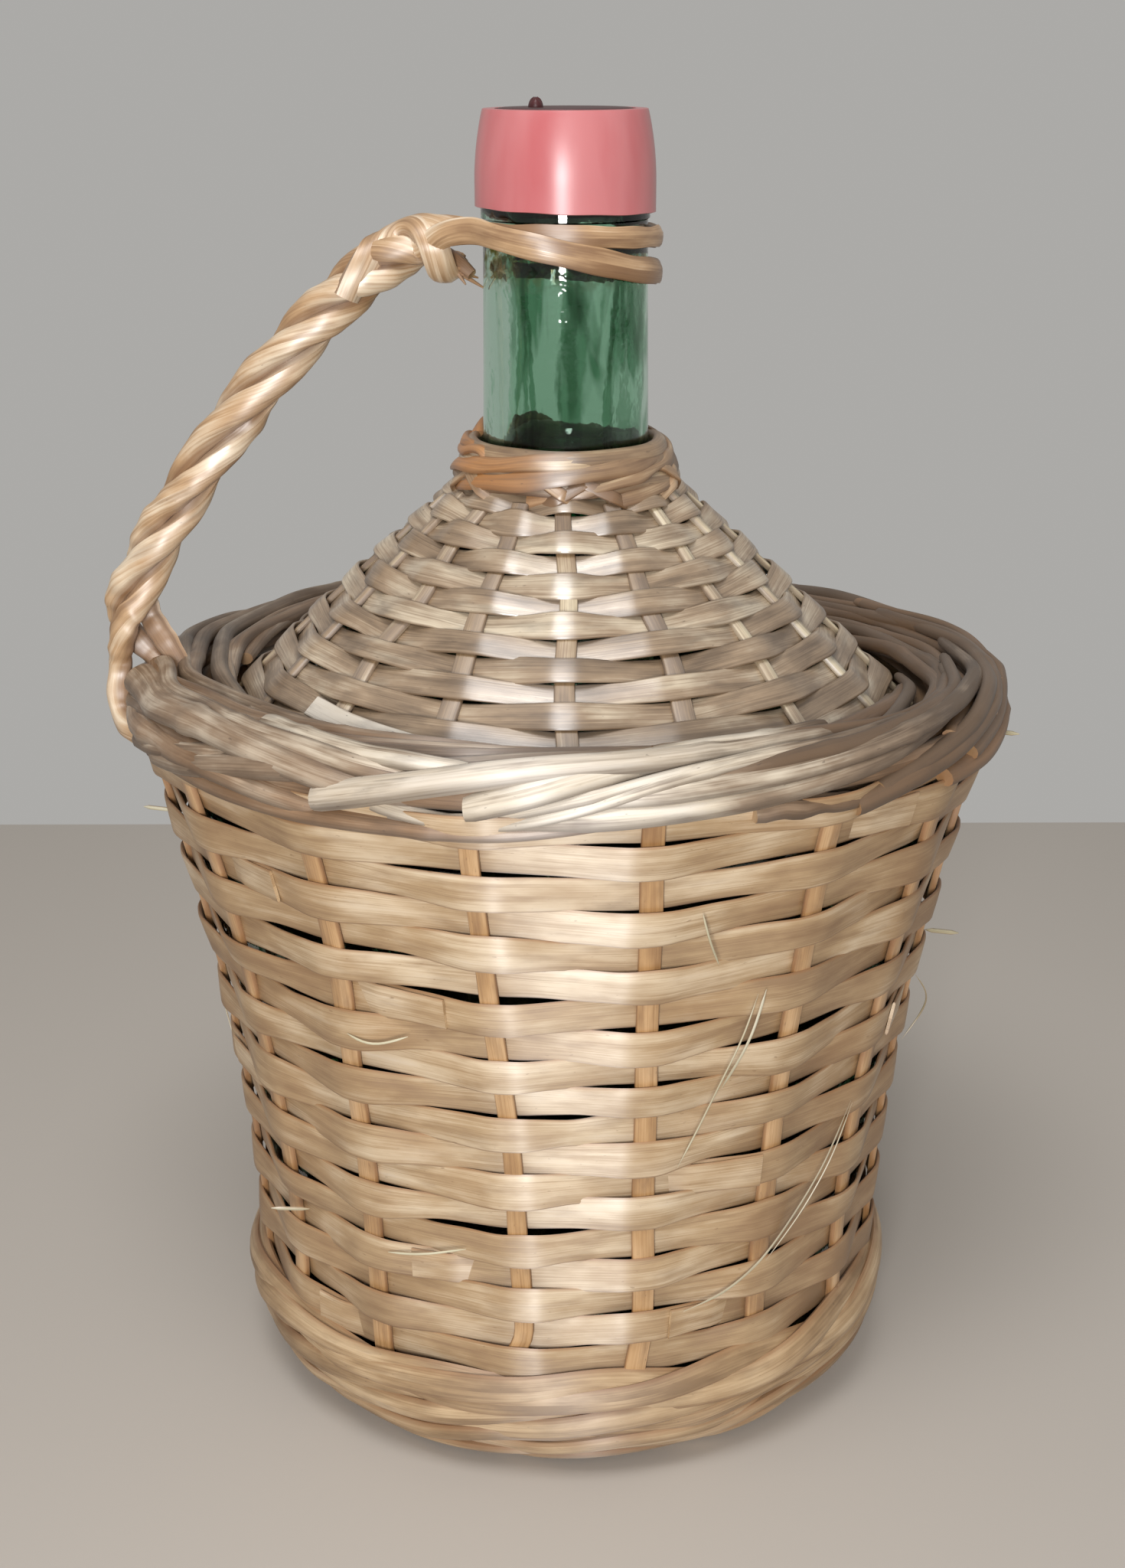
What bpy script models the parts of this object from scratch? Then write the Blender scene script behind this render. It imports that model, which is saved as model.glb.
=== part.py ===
"""Wicker demijohn: a green glass bottle in a woven willow basket, with a twisted willow handle.

Metres, +Z up. The origin is where the bottle's axis meets the surface that the basket stands on.
Angles round the basket start at the front (-Y) and grow towards +X, so the handle stands at -90 degrees.
"""

import math

import bmesh
import bpy
from mathutils import Vector

# Shared clearances and counts
GAP = 0.0003
STAKE_COUNT = 16
BAY = 2 * math.pi / STAKE_COUNT
EDGE_ROOM = 0.0006

# Foot of the basket: the stakes bend under, and thick rods are laid round them outside
BASE_LEVEL = 0.0040
FOOT_BEND_RADIUS = 0.0160
FOOT_BEND_HEIGHT = BASE_LEVEL + FOOT_BEND_RADIUS
FOOT_ROD_COUNT = 4
FOOT_ROD_TALL = 0.0078
FOOT_ROD_DEEP = 0.0044

# Basket wall, measured at the middle of its upright stakes
WALL_START_RADIUS = 0.0826
WALL_START_RISE = 0.0100
WALL_START_HEIGHT = FOOT_BEND_HEIGHT + WALL_START_RISE
WALL_LENGTH = 0.1420
WALL_TOP_HEIGHT = WALL_START_HEIGHT + WALL_LENGTH
WALL_SPREAD = 0.0224
WALL_TOP_RADIUS = WALL_START_RADIUS + WALL_SPREAD
WALL_FLARE = 1.7
FOOT_DRAW_IN = 0.0020
FOOT_BEND_WALL_RADIUS = WALL_START_RADIUS - FOOT_DRAW_IN

# Side stakes and the flat strips woven round them
SIDE_STAKE_WIDTH = 0.0055
SIDE_STAKE_THICKNESS = 0.0020
SIDE_STRIP_THICKNESS = 0.0010
SIDE_ROW_COUNT = 18
SIDE_FIRST_ROW_RISE = 0.0038
SIDE_LAST_ROW_DROP = 0.0005
SIDE_ROW_START = WALL_START_HEIGHT + SIDE_FIRST_ROW_RISE
SIDE_ROW_PITCH = (WALL_TOP_HEIGHT - SIDE_LAST_ROW_DROP - SIDE_ROW_START) / (SIDE_ROW_COUNT - 1)
ROW_SPACE = 0.0004

# Shoulder of the basket: a cone of stakes with its own finer strips
SHOULDER_ANGLE = math.radians(43)
SHOULDER_INSET = 0.0150
SHOULDER_RISE = 0.0028
SHOULDER_RADIUS = WALL_TOP_RADIUS - SHOULDER_INSET
SHOULDER_HEIGHT = WALL_TOP_HEIGHT + SHOULDER_RISE
SHOULDER_STAKE_OVERHANG = 0.0085
SHOULDER_STAKE_FOOT_RADIUS = SHOULDER_RADIUS + SHOULDER_STAKE_OVERHANG
SHOULDER_STAKE_FOOT_WIDTH = 0.0050
SHOULDER_STAKE_TOP_WIDTH = 0.0040
SHOULDER_STAKE_THICKNESS = 0.0016
SHOULDER_STRIP_THICKNESS = 0.0009
SHOULDER_ROW_COUNT = 13
SHOULDER_FIRST_ROW_INSET = 0.0060
SHOULDER_FIRST_ROW_RADIUS = SHOULDER_RADIUS - SHOULDER_FIRST_ROW_INSET

# Base: the side stakes cross under the bottle in two groups, fan out, and hold two woven strips
BASE_LOWER_GROUP = 5
BASE_UPPER_GROUP = 3
BASE_FAN_RADIUS = 0.0260
BASE_STRIP_THICKNESS = 0.0012
BASE_ROW_PITCH = 0.0065
BASE_FIRST_ROW_SPACE = 0.0045
BASE_FIRST_ROW_RADIUS = BASE_FAN_RADIUS + BASE_FIRST_ROW_SPACE
BASE_STRIP_TURNS = 2

# Rim: rods laid side by side as a brim, and one under its outer edge
RIM_ROD_DIAMETER = 0.0064
RIM_BRIM_ROD_COUNT = 4
RIM_BRIM_RISE = 0.0154
RIM_BRIM_HEIGHT = SHOULDER_HEIGHT + RIM_BRIM_RISE
RIM_BRIM_DIP = 0.0046
RIM_EDGE_OUT = 0.0013
RIM_EDGE_ROD_RADIUS = WALL_TOP_RADIUS + RIM_EDGE_OUT

# Neck of the glass, and the collar of folded stake ends round its foot
NECK_FOOT_RADIUS = 0.0204
NECK_TAPER = 0.0005
NECK_TOP_RADIUS = NECK_FOOT_RADIUS - NECK_TAPER
NECK_RISE = 0.1228
NECK_TOP_HEIGHT = SHOULDER_HEIGHT + NECK_RISE
NECK_WALL = 0.0034
NECK_FILLET = 0.0120
COLLAR_ROD_DIAMETER = 0.0054
COLLAR_SEAT = 0.0020
COLLAR_ROOM = 0.0082
COLLAR_DRAW_IN = 0.0014
COLLAR_LOWER_RADIUS = NECK_FOOT_RADIUS + COLLAR_ROOM
COLLAR_UPPER_RADIUS = COLLAR_LOWER_RADIUS - COLLAR_DRAW_IN
SHOULDER_LAST_ROW_SPACE = 0.0032
SHOULDER_LAST_ROW_RADIUS = COLLAR_LOWER_RADIUS + SHOULDER_LAST_ROW_SPACE

# Glass bottle
GLASS_WALL = 0.0030
GLASS_PLAY = 0.0006
GLASS_HEEL_RADIUS = 0.0220
GLASS_SHOULDER_ROUND = 0.0250
GLASS_PUNT_RADIUS = 0.0400
GLASS_PUNT_DEPTH = 0.0040
LIP_OVERHANG_INSIDE = 0.0054
BORE_RADIUS = NECK_TOP_RADIUS - LIP_OVERHANG_INSIDE
LIP_LENGTH = 0.0233
LIP_HEIGHT = NECK_TOP_HEIGHT + LIP_LENGTH
LIP_ROUND = 0.0020

# Cap: a barrel-shaped plastic sleeve over the lip
CAP_WALL = 0.0010
CAP_PLAY = 0.0004
CAP_FOOT = 0.0019
CAP_CROWN = 0.0018
CAP_WIDEST_RISE = 0.0065
CAP_BOTTOM = NECK_TOP_HEIGHT + CAP_FOOT
CAP_TOP = LIP_HEIGHT + GAP + CAP_CROWN
CAP_WIDEST_HEIGHT = CAP_BOTTOM + CAP_WIDEST_RISE
CAP_SWELL = 0.00185
CAP_RADIUS = NECK_TOP_RADIUS + CAP_SWELL
CAP_TOP_DRAW_IN = 0.0020

# Stopper under the cap
STOPPER_LENGTH = 0.0220
STOPPER_HEAD_OVERHANG = 0.0017
STOPPER_HEAD_RADIUS = BORE_RADIUS + STOPPER_HEAD_OVERHANG
STOPPER_HEAD_THICKNESS = 0.0020
STOPPER_CHAMFER = 0.0010
CAP_OPENING_PLAY = 0.0006
CAP_OPENING_RADIUS = STOPPER_HEAD_RADIUS + CAP_OPENING_PLAY
NUB_RADIUS = 0.0018
NUB_HEIGHT = 0.0020
NUB_OFFSET = 0.0070

# Handle: three rods twisted together, from the rim up to the neck
HANDLE_ROD_DIAMETER = 0.0062
HANDLE_TIE_DIAMETER = 0.0046
HANDLE_TURNS = 7 / 3
HANDLE_STATIONS = 41
HANDLE_FOOT_OUT = 0.0015
HANDLE_FOOT_RISE = 0.0139
HANDLE_LOWER_PULL = (0.0003, 0.0283)
HANDLE_UPPER_PULL = (-0.0467, 0.0956)
HANDLE_HEAD_OUT = 0.0156
HANDLE_HEAD_DROP = 0.0056
TURN_IN_LOWER = (0.0086, 0.0075, 0.0062)
TURN_IN_UPPER = (0.0081, 0.0048, 0.0006)
TIE_UPPER_DROPS = (0.0012, 0.0014, 0.0028, 0.0041, 0.0051)
TIE_LOWER_DROPS = (0.0064, 0.0096, 0.0136, 0.0136, 0.0121)
TIE_START = math.radians(-58)
TIE_END = math.radians(240)
TIE_STATIONS = 20
FOOT_HOOK = (
    (0.0105, -0.0005, 0.0015),
    (0.0085, -0.0020, -0.0088),
    (0.0044, -0.0045, -0.0158),
    (0.0004, -0.0075, -0.0180),
)
FOOT_INNER_END = (
    (-0.0060, 0.0048, 0.0068),
    (-0.0175, 0.0054, 0.0040),
    (-0.0250, 0.0056, 0.0030),
    (-0.0290, 0.0057, 0.0014),
)
FOOT_EDGE_END = (
    (0.0010, -0.0045, 0.0066),
    (-0.0045, -0.0065, 0.0038),
    (-0.0100, -0.0080, 0.0030),
)

# Facets
STRIP_OUTLINE = ((-1, -1), (1, -1), (1, 1), (-1, 1))
ROD_SIDES = 6
ROD_OUTLINE = tuple(
    (math.cos(2 * math.pi * side / ROD_SIDES), math.sin(2 * math.pi * side / ROD_SIDES))
    for side in range(ROD_SIDES)
)
ROD_STATIONS = 2 * STAKE_COUNT
TURNED_STEPS = 24
ARC_STEPS = 4


def clear_scene():
    for thing in list(bpy.data.objects):
        bpy.data.objects.remove(thing, do_unlink=True)


def finish(name, colour, roughness, transmission=0.0):
    """One Principled material: colour is linear RGB."""
    material = bpy.data.materials.new(name)
    material.use_nodes = True
    shader = material.node_tree.nodes["Principled BSDF"]
    shader.inputs["Base Color"].default_value = (*colour, 1.0)
    shader.inputs["Roughness"].default_value = roughness
    shader.inputs["Metallic"].default_value = 0.0
    shader.inputs["Transmission Weight"].default_value = transmission
    return material


def place(name, bm, material, smooth=False):
    """Turn a bmesh into a named object at the row's origin."""
    bmesh.ops.recalc_face_normals(bm, faces=bm.faces)
    mesh = bpy.data.meshes.new(name)
    bm.to_mesh(mesh)
    bm.free()
    mesh.materials.append(material)
    if smooth:
        mesh.shade_smooth()
        mesh.set_sharp_from_angle(angle=math.radians(40))
    piece = bpy.data.objects.new(name, mesh)
    bpy.context.scene.collection.objects.link(piece)
    return piece


def around(angle, radius, height):
    """The point at an angle round the basket, a radius and a height."""
    return Vector((radius * math.sin(angle), -radius * math.cos(angle), height))


def skin(bm, sections, closed):
    """Faces between the sections of one strip or rod, with end caps where it isn't a ring."""
    loops = [[bm.verts.new(point) for point in section] for section in sections]
    pairs = list(zip(loops, loops[1:]))
    if closed:
        pairs.append((loops[-1], loops[0]))
    else:
        bm.faces.new(loops[0])
        bm.faces.new(loops[-1])
    for first, second in pairs:
        for corner in range(len(first)):
            after = (corner + 1) % len(first)
            bm.faces.new((first[corner], second[corner], second[after], first[after]))


def section(angle, radius, height, lean, offset, half_deep, half_tall, outline):
    """A section across a ring. lean tips it outwards from upright; offset moves it off the surface."""
    corners = []
    for deep, tall in outline:
        out = offset + deep * half_deep
        up = tall * half_tall
        corners.append(
            around(
                angle,
                radius + out * math.cos(lean) + up * math.sin(lean),
                height - out * math.sin(lean) + up * math.cos(lean),
            )
        )
    return corners


def woven_strip(
    stakes, seat, sweep, stake_width, stagger, first_side, half_deep, half_tall, flat_inside=True
):
    """A flat strip that passes outside and inside the stakes in turn, and runs straight between them."""
    sections = []
    for stake in stakes:
        middle = (stake + stagger) * BAY
        radius, height, lean = seat(middle)
        reach = (stake_width / 2 + EDGE_ROOM) / radius
        outside = (stake + first_side) % 2 == 1
        offset = sweep if outside else -sweep
        crossings = (middle - reach, middle + reach) if outside or flat_inside else (middle,)
        for angle in crossings:
            sections.append(
                section(angle, radius, height, lean, offset, half_deep, half_tall, STRIP_OUTLINE)
            )
    return sections


def rod_ring(profile):
    """A closed ring of round or oval rod. profile gives radius, height, lean and half sizes at an angle."""
    sections = []
    for station in range(ROD_STATIONS):
        angle = 2 * math.pi * station / ROD_STATIONS
        radius, height, lean, half_deep, half_tall = profile(angle)
        sections.append(
            section(angle, radius, height, lean, 0.0, half_deep, half_tall, ROD_OUTLINE)
        )
    return sections


def turned(name, outline, material, ring=False):
    """A body of revolution. A ring's outline closes on itself; any other starts and ends on the axis."""
    bm = bmesh.new()
    points = [bm.verts.new((radius, 0.0, height)) for radius, height in outline]
    edges = [bm.edges.new(pair) for pair in zip(points, points[1:])]
    if ring:
        edges.append(bm.edges.new((points[-1], points[0])))
    bmesh.ops.spin(
        bm,
        geom=points + edges,
        cent=(0.0, 0.0, 0.0),
        axis=(0.0, 0.0, 1.0),
        angle=2 * math.pi,
        steps=TURNED_STEPS,
        use_merge=True,
    )
    bmesh.ops.remove_doubles(bm, verts=bm.verts, dist=0.000001)
    return place(name, bm, material, smooth=True)


def arc(centre, radius, start, end, steps=ARC_STEPS):
    """Points on an arc in the radius and height plane, from start to end in degrees."""
    points = []
    for step in range(steps + 1):
        turn = math.radians(start + (end - start) * step / steps)
        points.append((centre[0] + radius * math.cos(turn), centre[1] + radius * math.sin(turn)))
    return points


# Basket wall


def wall_radius(height):
    """Radius of the wall at the middle of its stakes: a slow flare from the foot to the rim."""
    share = (height - WALL_START_HEIGHT) / (WALL_TOP_HEIGHT - WALL_START_HEIGHT)
    return WALL_START_RADIUS + (WALL_TOP_RADIUS - WALL_START_RADIUS) * max(share, 0.0) ** WALL_FLARE


def wall_lean(height):
    step = 0.001
    return math.atan((wall_radius(height + step) - wall_radius(height - step)) / (2 * step))


SIDE_SWEEP = SIDE_STAKE_THICKNESS / 2 + GAP + SIDE_STRIP_THICKNESS / 2


def build_side_rows(material):
    """The side's strips. The rows take turns at which stakes they pass in front of."""
    for row in range(SIDE_ROW_COUNT):
        height = SIDE_ROW_START + row * SIDE_ROW_PITCH
        seat = (wall_radius(height), height, wall_lean(height))
        sections = woven_strip(
            range(STAKE_COUNT),
            lambda angle: seat,
            SIDE_SWEEP,
            SIDE_STAKE_WIDTH,
            0.5,
            row,
            SIDE_STRIP_THICKNESS / 2,
            (SIDE_ROW_PITCH - ROW_SPACE) / 2,
            flat_inside=False,
        )
        bm = bmesh.new()
        skin(bm, sections, closed=True)
        place(f"side_weaver_{row + 1:02d}", bm, material)


def flat_run(path, width, thickness):
    """Sections of a flat stake. path holds points with the way its outer face looks there."""
    sections = []
    for index, (point, out) in enumerate(path):
        before = path[max(index - 1, 0)][0]
        after = path[min(index + 1, len(path) - 1)][0]
        run = Vector()
        if index > 0:
            run += (point - before).normalized()
        if index < len(path) - 1:
            run += (after - point).normalized()
        side = run.cross(out).normalized()
        half_width = width(point) / 2
        sections.append(
            [
                point + across * half_width * side + deep * thickness / 2 * out
                for across, deep in STRIP_OUTLINE
            ]
        )
    return sections


# Rim


def brim_dip(angle):
    """The brim stands highest at the front and sags towards the back."""
    return RIM_BRIM_DIP * (1 - ((1 + math.cos(angle)) / 2) ** 2)


def brim_rod_centre(angle, rod):
    """Centre of a brim rod, counted from the inside. They rest on the shoulder's first strips."""
    pitch = RIM_ROD_DIAMETER + GAP
    strip_top = SHOULDER_STAKE_THICKNESS / 2 + GAP + SHOULDER_STRIP_THICKNESS
    clear = strip_top + EDGE_ROOM + RIM_ROD_DIAMETER / 2
    height = RIM_BRIM_HEIGHT - brim_dip(angle)
    slope = math.tan(SHOULDER_ANGLE)
    inner = SHOULDER_RADIUS - (height - SHOULDER_HEIGHT) / slope + clear / math.sin(SHOULDER_ANGLE)
    return inner + rod * pitch, height


def edge_rod_centre(angle):
    """Centre of the rod under the brim's outer edge, touching the last brim rod."""
    radius, height = brim_rod_centre(angle, RIM_BRIM_ROD_COUNT - 1)
    sideways = RIM_EDGE_ROD_RADIUS - radius
    reach = RIM_ROD_DIAMETER + GAP
    return RIM_EDGE_ROD_RADIUS, height - math.sqrt(max(reach**2 - sideways**2, 0.0))


def build_rim(material):
    half = RIM_ROD_DIAMETER / 2
    for rod in range(RIM_BRIM_ROD_COUNT):
        bm = bmesh.new()
        skin(bm, rod_ring(lambda angle: (*brim_rod_centre(angle, rod), 0.0, half, half)), closed=True)
        place(f"rim_rod_{rod + 1}", bm, material, smooth=True)
    bm = bmesh.new()
    skin(bm, rod_ring(lambda angle: (*edge_rod_centre(angle), 0.0, half, half)), closed=True)
    place(f"rim_rod_{RIM_BRIM_ROD_COUNT + 1}", bm, material, smooth=True)


# Foot and side stakes

FOOT_BEND_CENTRE = FOOT_BEND_WALL_RADIUS - FOOT_BEND_RADIUS
FOOT_RING_RADIUS = FOOT_BEND_RADIUS + SIDE_STAKE_THICKNESS / 2 + EDGE_ROOM + FOOT_ROD_DEEP / 2


def foot_rod_bottom(turn):
    """Lowest point of a foot rod whose centre is at an angle below the bend's centre."""
    half_deep = FOOT_ROD_DEEP / 2
    half_tall = FOOT_ROD_TALL / 2
    reach = math.hypot(half_deep * math.sin(turn), half_tall * math.cos(turn))
    return FOOT_BEND_HEIGHT - FOOT_RING_RADIUS * math.sin(turn) - reach


def first_foot_turn():
    """The angle below the bend's centre at which the lowest foot rod just stands on the floor."""
    low = 0.0
    high = math.radians(80)
    for _ in range(40):
        middle = (low + high) / 2
        if foot_rod_bottom(middle) > 0.0:
            low = middle
        else:
            high = middle
    return low


def foot_rod_place(rod):
    """Radius, height and lean of a foot rod: round the bend first, then up the wall."""
    along = rod * (FOOT_ROD_TALL + GAP)
    turn = first_foot_turn() - along / FOOT_RING_RADIUS
    if turn >= 0.0:
        return (
            FOOT_BEND_CENTRE + FOOT_RING_RADIUS * math.cos(turn),
            FOOT_BEND_HEIGHT - FOOT_RING_RADIUS * math.sin(turn),
            turn,
        )
    rise = -turn * FOOT_RING_RADIUS
    return FOOT_BEND_CENTRE + FOOT_RING_RADIUS + rise * foot_lean_slope(), FOOT_BEND_HEIGHT + rise, 0.0


def foot_lean_slope():
    return (WALL_START_RADIUS - FOOT_BEND_WALL_RADIUS) / (WALL_START_HEIGHT - FOOT_BEND_HEIGHT)


def build_foot(material):
    for rod in range(FOOT_ROD_COUNT):
        radius, height, lean = foot_rod_place(rod)
        bm = bmesh.new()
        sections = rod_ring(
            lambda angle: (radius, height, lean, FOOT_ROD_DEEP / 2, FOOT_ROD_TALL / 2)
        )
        skin(bm, sections, closed=True)
        place(f"foot_rod_{rod + 1}", bm, material, smooth=True)


def stake_crossing(number, count, other_count, middle_height):
    """Where half a stake leaves the crossing under the bottle, and its turn from its group's direction."""
    spacing = SIDE_STAKE_WIDTH + EDGE_ROOM
    place_in_group = number - (count - 1) / 2
    leave = other_count * spacing / 2 + EDGE_ROOM
    return Vector((leave, place_in_group * spacing, middle_height)), place_in_group * BAY


def stake_half(group_angle, crossing, fan):
    """Half of a side stake: along the base, round the foot and up to the rim's edge rod."""
    down = Vector((0.0, 0.0, -1.0))
    turn = math.cos(group_angle), math.sin(group_angle)
    leave = Vector(
        (
            crossing.x * turn[0] - crossing.y * turn[1],
            crossing.x * turn[1] + crossing.y * turn[0],
            crossing.z,
        )
    )
    angle = group_angle + fan + math.pi / 2
    path = [(leave, down), (around(angle, BASE_FAN_RADIUS, BASE_LEVEL), down)]
    for radius, height in arc((FOOT_BEND_CENTRE, FOOT_BEND_HEIGHT), FOOT_BEND_RADIUS, -90, 0):
        lean = math.asin((FOOT_BEND_HEIGHT - height) / FOOT_BEND_RADIUS)
        path.append((around(angle, radius, height), around(angle, math.cos(lean), -math.sin(lean))))
    top = edge_rod_centre(angle)[1] - RIM_ROD_DIAMETER / 2 - GAP
    steps = SIDE_ROW_COUNT // 2
    for step in range(steps + 1):
        height = WALL_START_HEIGHT + (top - WALL_START_HEIGHT) * step / steps
        lean = wall_lean(height)
        out = around(angle, math.cos(lean), -math.sin(lean))
        path.append((around(angle, wall_radius(height), height), out))
    return path


def build_side_stakes(material):
    """Each stake runs from the rim down one side, across the base and up the opposite side."""
    low = SIDE_STAKE_THICKNESS / 2
    high = low + SIDE_STAKE_THICKNESS + GAP
    groups = (
        (0.0, BASE_LOWER_GROUP, BASE_UPPER_GROUP, low),
        (math.pi / 2, BASE_UPPER_GROUP, BASE_LOWER_GROUP, high),
    )
    name = 0
    for group_angle, count, other_count, height in groups:
        for number in range(count):
            name += 1
            ahead, fan = stake_crossing(number, count, other_count, height)
            behind = Vector((ahead.x, -ahead.y, ahead.z))
            first = stake_half(group_angle + BAY / 2, ahead, fan)
            second = stake_half(group_angle + BAY / 2 + math.pi, behind, -fan)
            sections = flat_run(
                second[::-1] + first, lambda point: SIDE_STAKE_WIDTH, SIDE_STAKE_THICKNESS
            )
            bm = bmesh.new()
            skin(bm, sections, closed=False)
            place(f"side_stake_{name}", bm, material)


# Shoulder of the basket


def shoulder_height(radius):
    """Height of the middle of the shoulder's stakes."""
    return SHOULDER_HEIGHT + (SHOULDER_RADIUS - radius) * math.tan(SHOULDER_ANGLE)


SHOULDER_LEAN = SHOULDER_ANGLE - math.pi / 2
SHOULDER_SWEEP = SHOULDER_STAKE_THICKNESS / 2 + GAP + SHOULDER_STRIP_THICKNESS / 2


def shoulder_stake_width(radius):
    share = (radius - COLLAR_LOWER_RADIUS) / (SHOULDER_STAKE_FOOT_RADIUS - COLLAR_LOWER_RADIUS)
    return SHOULDER_STAKE_TOP_WIDTH + share * (SHOULDER_STAKE_FOOT_WIDTH - SHOULDER_STAKE_TOP_WIDTH)


def shoulder_row_spacing():
    return (SHOULDER_FIRST_ROW_RADIUS - SHOULDER_LAST_ROW_RADIUS) / (SHOULDER_ROW_COUNT - 1)


def build_shoulder_rows(material):
    half_tall = (shoulder_row_spacing() / math.cos(SHOULDER_ANGLE) - ROW_SPACE) / 2
    for row in range(SHOULDER_ROW_COUNT):
        radius = SHOULDER_FIRST_ROW_RADIUS - row * shoulder_row_spacing()
        seat = (radius, shoulder_height(radius), SHOULDER_LEAN)
        sections = woven_strip(
            range(STAKE_COUNT),
            lambda angle: seat,
            SHOULDER_SWEEP,
            shoulder_stake_width(radius),
            0.0,
            row,
            SHOULDER_STRIP_THICKNESS / 2,
            half_tall,
        )
        bm = bmesh.new()
        skin(bm, sections, closed=True)
        place(f"shoulder_weaver_{row + 1:02d}", bm, material)


def collar_centres():
    """The lower strand lies on the stakes' top ends, and the upper one on the lower."""
    on_stakes = COLLAR_LOWER_RADIUS - COLLAR_SEAT * math.sin(SHOULDER_ANGLE)
    lower = shoulder_height(on_stakes) + COLLAR_SEAT * math.cos(SHOULDER_ANGLE)
    sideways = COLLAR_LOWER_RADIUS - COLLAR_UPPER_RADIUS
    upper = lower + math.sqrt((COLLAR_ROD_DIAMETER + GAP) ** 2 - sideways**2)
    return (COLLAR_LOWER_RADIUS, lower), (COLLAR_UPPER_RADIUS, upper)


def build_shoulder_frame(material):
    """The shoulder's stakes, whose top ends are folded into the collar's lower strand."""
    half = COLLAR_ROD_DIAMETER / 2
    lower, upper = collar_centres()
    bm = bmesh.new()
    skin(bm, rod_ring(lambda angle: (*lower, 0.0, half, half)), closed=True)
    frame = place("shoulder_frame", bm, material)

    bm = bmesh.new()
    top_radius = COLLAR_LOWER_RADIUS - COLLAR_SEAT * math.sin(SHOULDER_ANGLE)
    for stake in range(STAKE_COUNT):
        angle = stake * BAY
        out = around(angle, math.sin(SHOULDER_ANGLE), math.cos(SHOULDER_ANGLE))
        path = [
            (around(angle, radius, shoulder_height(radius)), out)
            for radius in (SHOULDER_STAKE_FOOT_RADIUS, top_radius)
        ]
        sections = flat_run(
            path, lambda point: shoulder_stake_width(math.hypot(point.x, point.y)), SHOULDER_STAKE_THICKNESS
        )
        skin(bm, sections, closed=False)
    stakes = place("shoulder_stakes_guide", bm, material)
    stakes.hide_render = True
    stakes.display_type = "WIRE"
    join = frame.modifiers.new("stakes", "BOOLEAN")
    join.operation = "UNION"
    join.solver = "EXACT"
    join.object = stakes

    bm = bmesh.new()
    skin(bm, rod_ring(lambda angle: (*upper, 0.0, half, half)), closed=True)
    place("collar_strand", bm, material, smooth=True)


# Base


def build_base_weave(material):
    """Two flat strips chase each other round the base, one over the stakes that the other goes under."""
    sweep = SIDE_STAKE_THICKNESS / 2 + GAP + BASE_STRIP_THICKNESS / 2
    half_turn = STAKE_COUNT // 2
    for strip in range(2):
        start = strip * half_turn
        start_angle = start * BAY

        def seat(angle):
            turned_by = angle - start_angle
            radius = BASE_FIRST_ROW_RADIUS + 2 * BASE_ROW_PITCH * turned_by / (2 * math.pi)
            return radius, BASE_LEVEL, math.pi / 2

        sections = woven_strip(
            range(start, start + BASE_STRIP_TURNS * STAKE_COUNT + 1),
            seat,
            sweep,
            SIDE_STAKE_WIDTH,
            0.5,
            strip,
            BASE_STRIP_THICKNESS / 2,
            (BASE_ROW_PITCH - ROW_SPACE) / 2,
        )
        bm = bmesh.new()
        skin(bm, sections, closed=False)
        place(f"base_strip_{strip + 1}", bm, material)


# Glass bottle

GLASS_SIDE_OFFSET = SIDE_SWEEP + SIDE_STRIP_THICKNESS / 2 + GLASS_PLAY
GLASS_SHOULDER_OFFSET = SHOULDER_SWEEP + SHOULDER_STRIP_THICKNESS / 2 + GLASS_PLAY
GLASS_BASE_HEIGHT = BASE_LEVEL + SIDE_STAKE_THICKNESS / 2 + GAP + BASE_STRIP_THICKNESS + GLASS_PLAY


def glass_cone_height(radius):
    """Height of the outside of the glass shoulder, which lies just inside the woven one."""
    return shoulder_height(radius) - GLASS_SHOULDER_OFFSET / math.cos(SHOULDER_ANGLE)


def shoulder_round_centre():
    """Centre of the round between the glass wall and its shoulder, touching both."""
    low = WALL_START_HEIGHT
    high = WALL_TOP_HEIGHT
    for _ in range(40):
        height = (low + high) / 2
        lean = wall_lean(height)
        radius = wall_radius(height) - GLASS_SIDE_OFFSET * math.cos(lean)
        centre = (
            radius - GLASS_SHOULDER_ROUND * math.cos(lean),
            height + GLASS_SHOULDER_ROUND * math.sin(lean),
        )
        end_radius = centre[0] + GLASS_SHOULDER_ROUND * math.sin(SHOULDER_ANGLE)
        end_height = centre[1] + GLASS_SHOULDER_ROUND * math.cos(SHOULDER_ANGLE)
        if end_height < glass_cone_height(end_radius):
            low = height
        else:
            high = height
    return centre, height, lean


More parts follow.
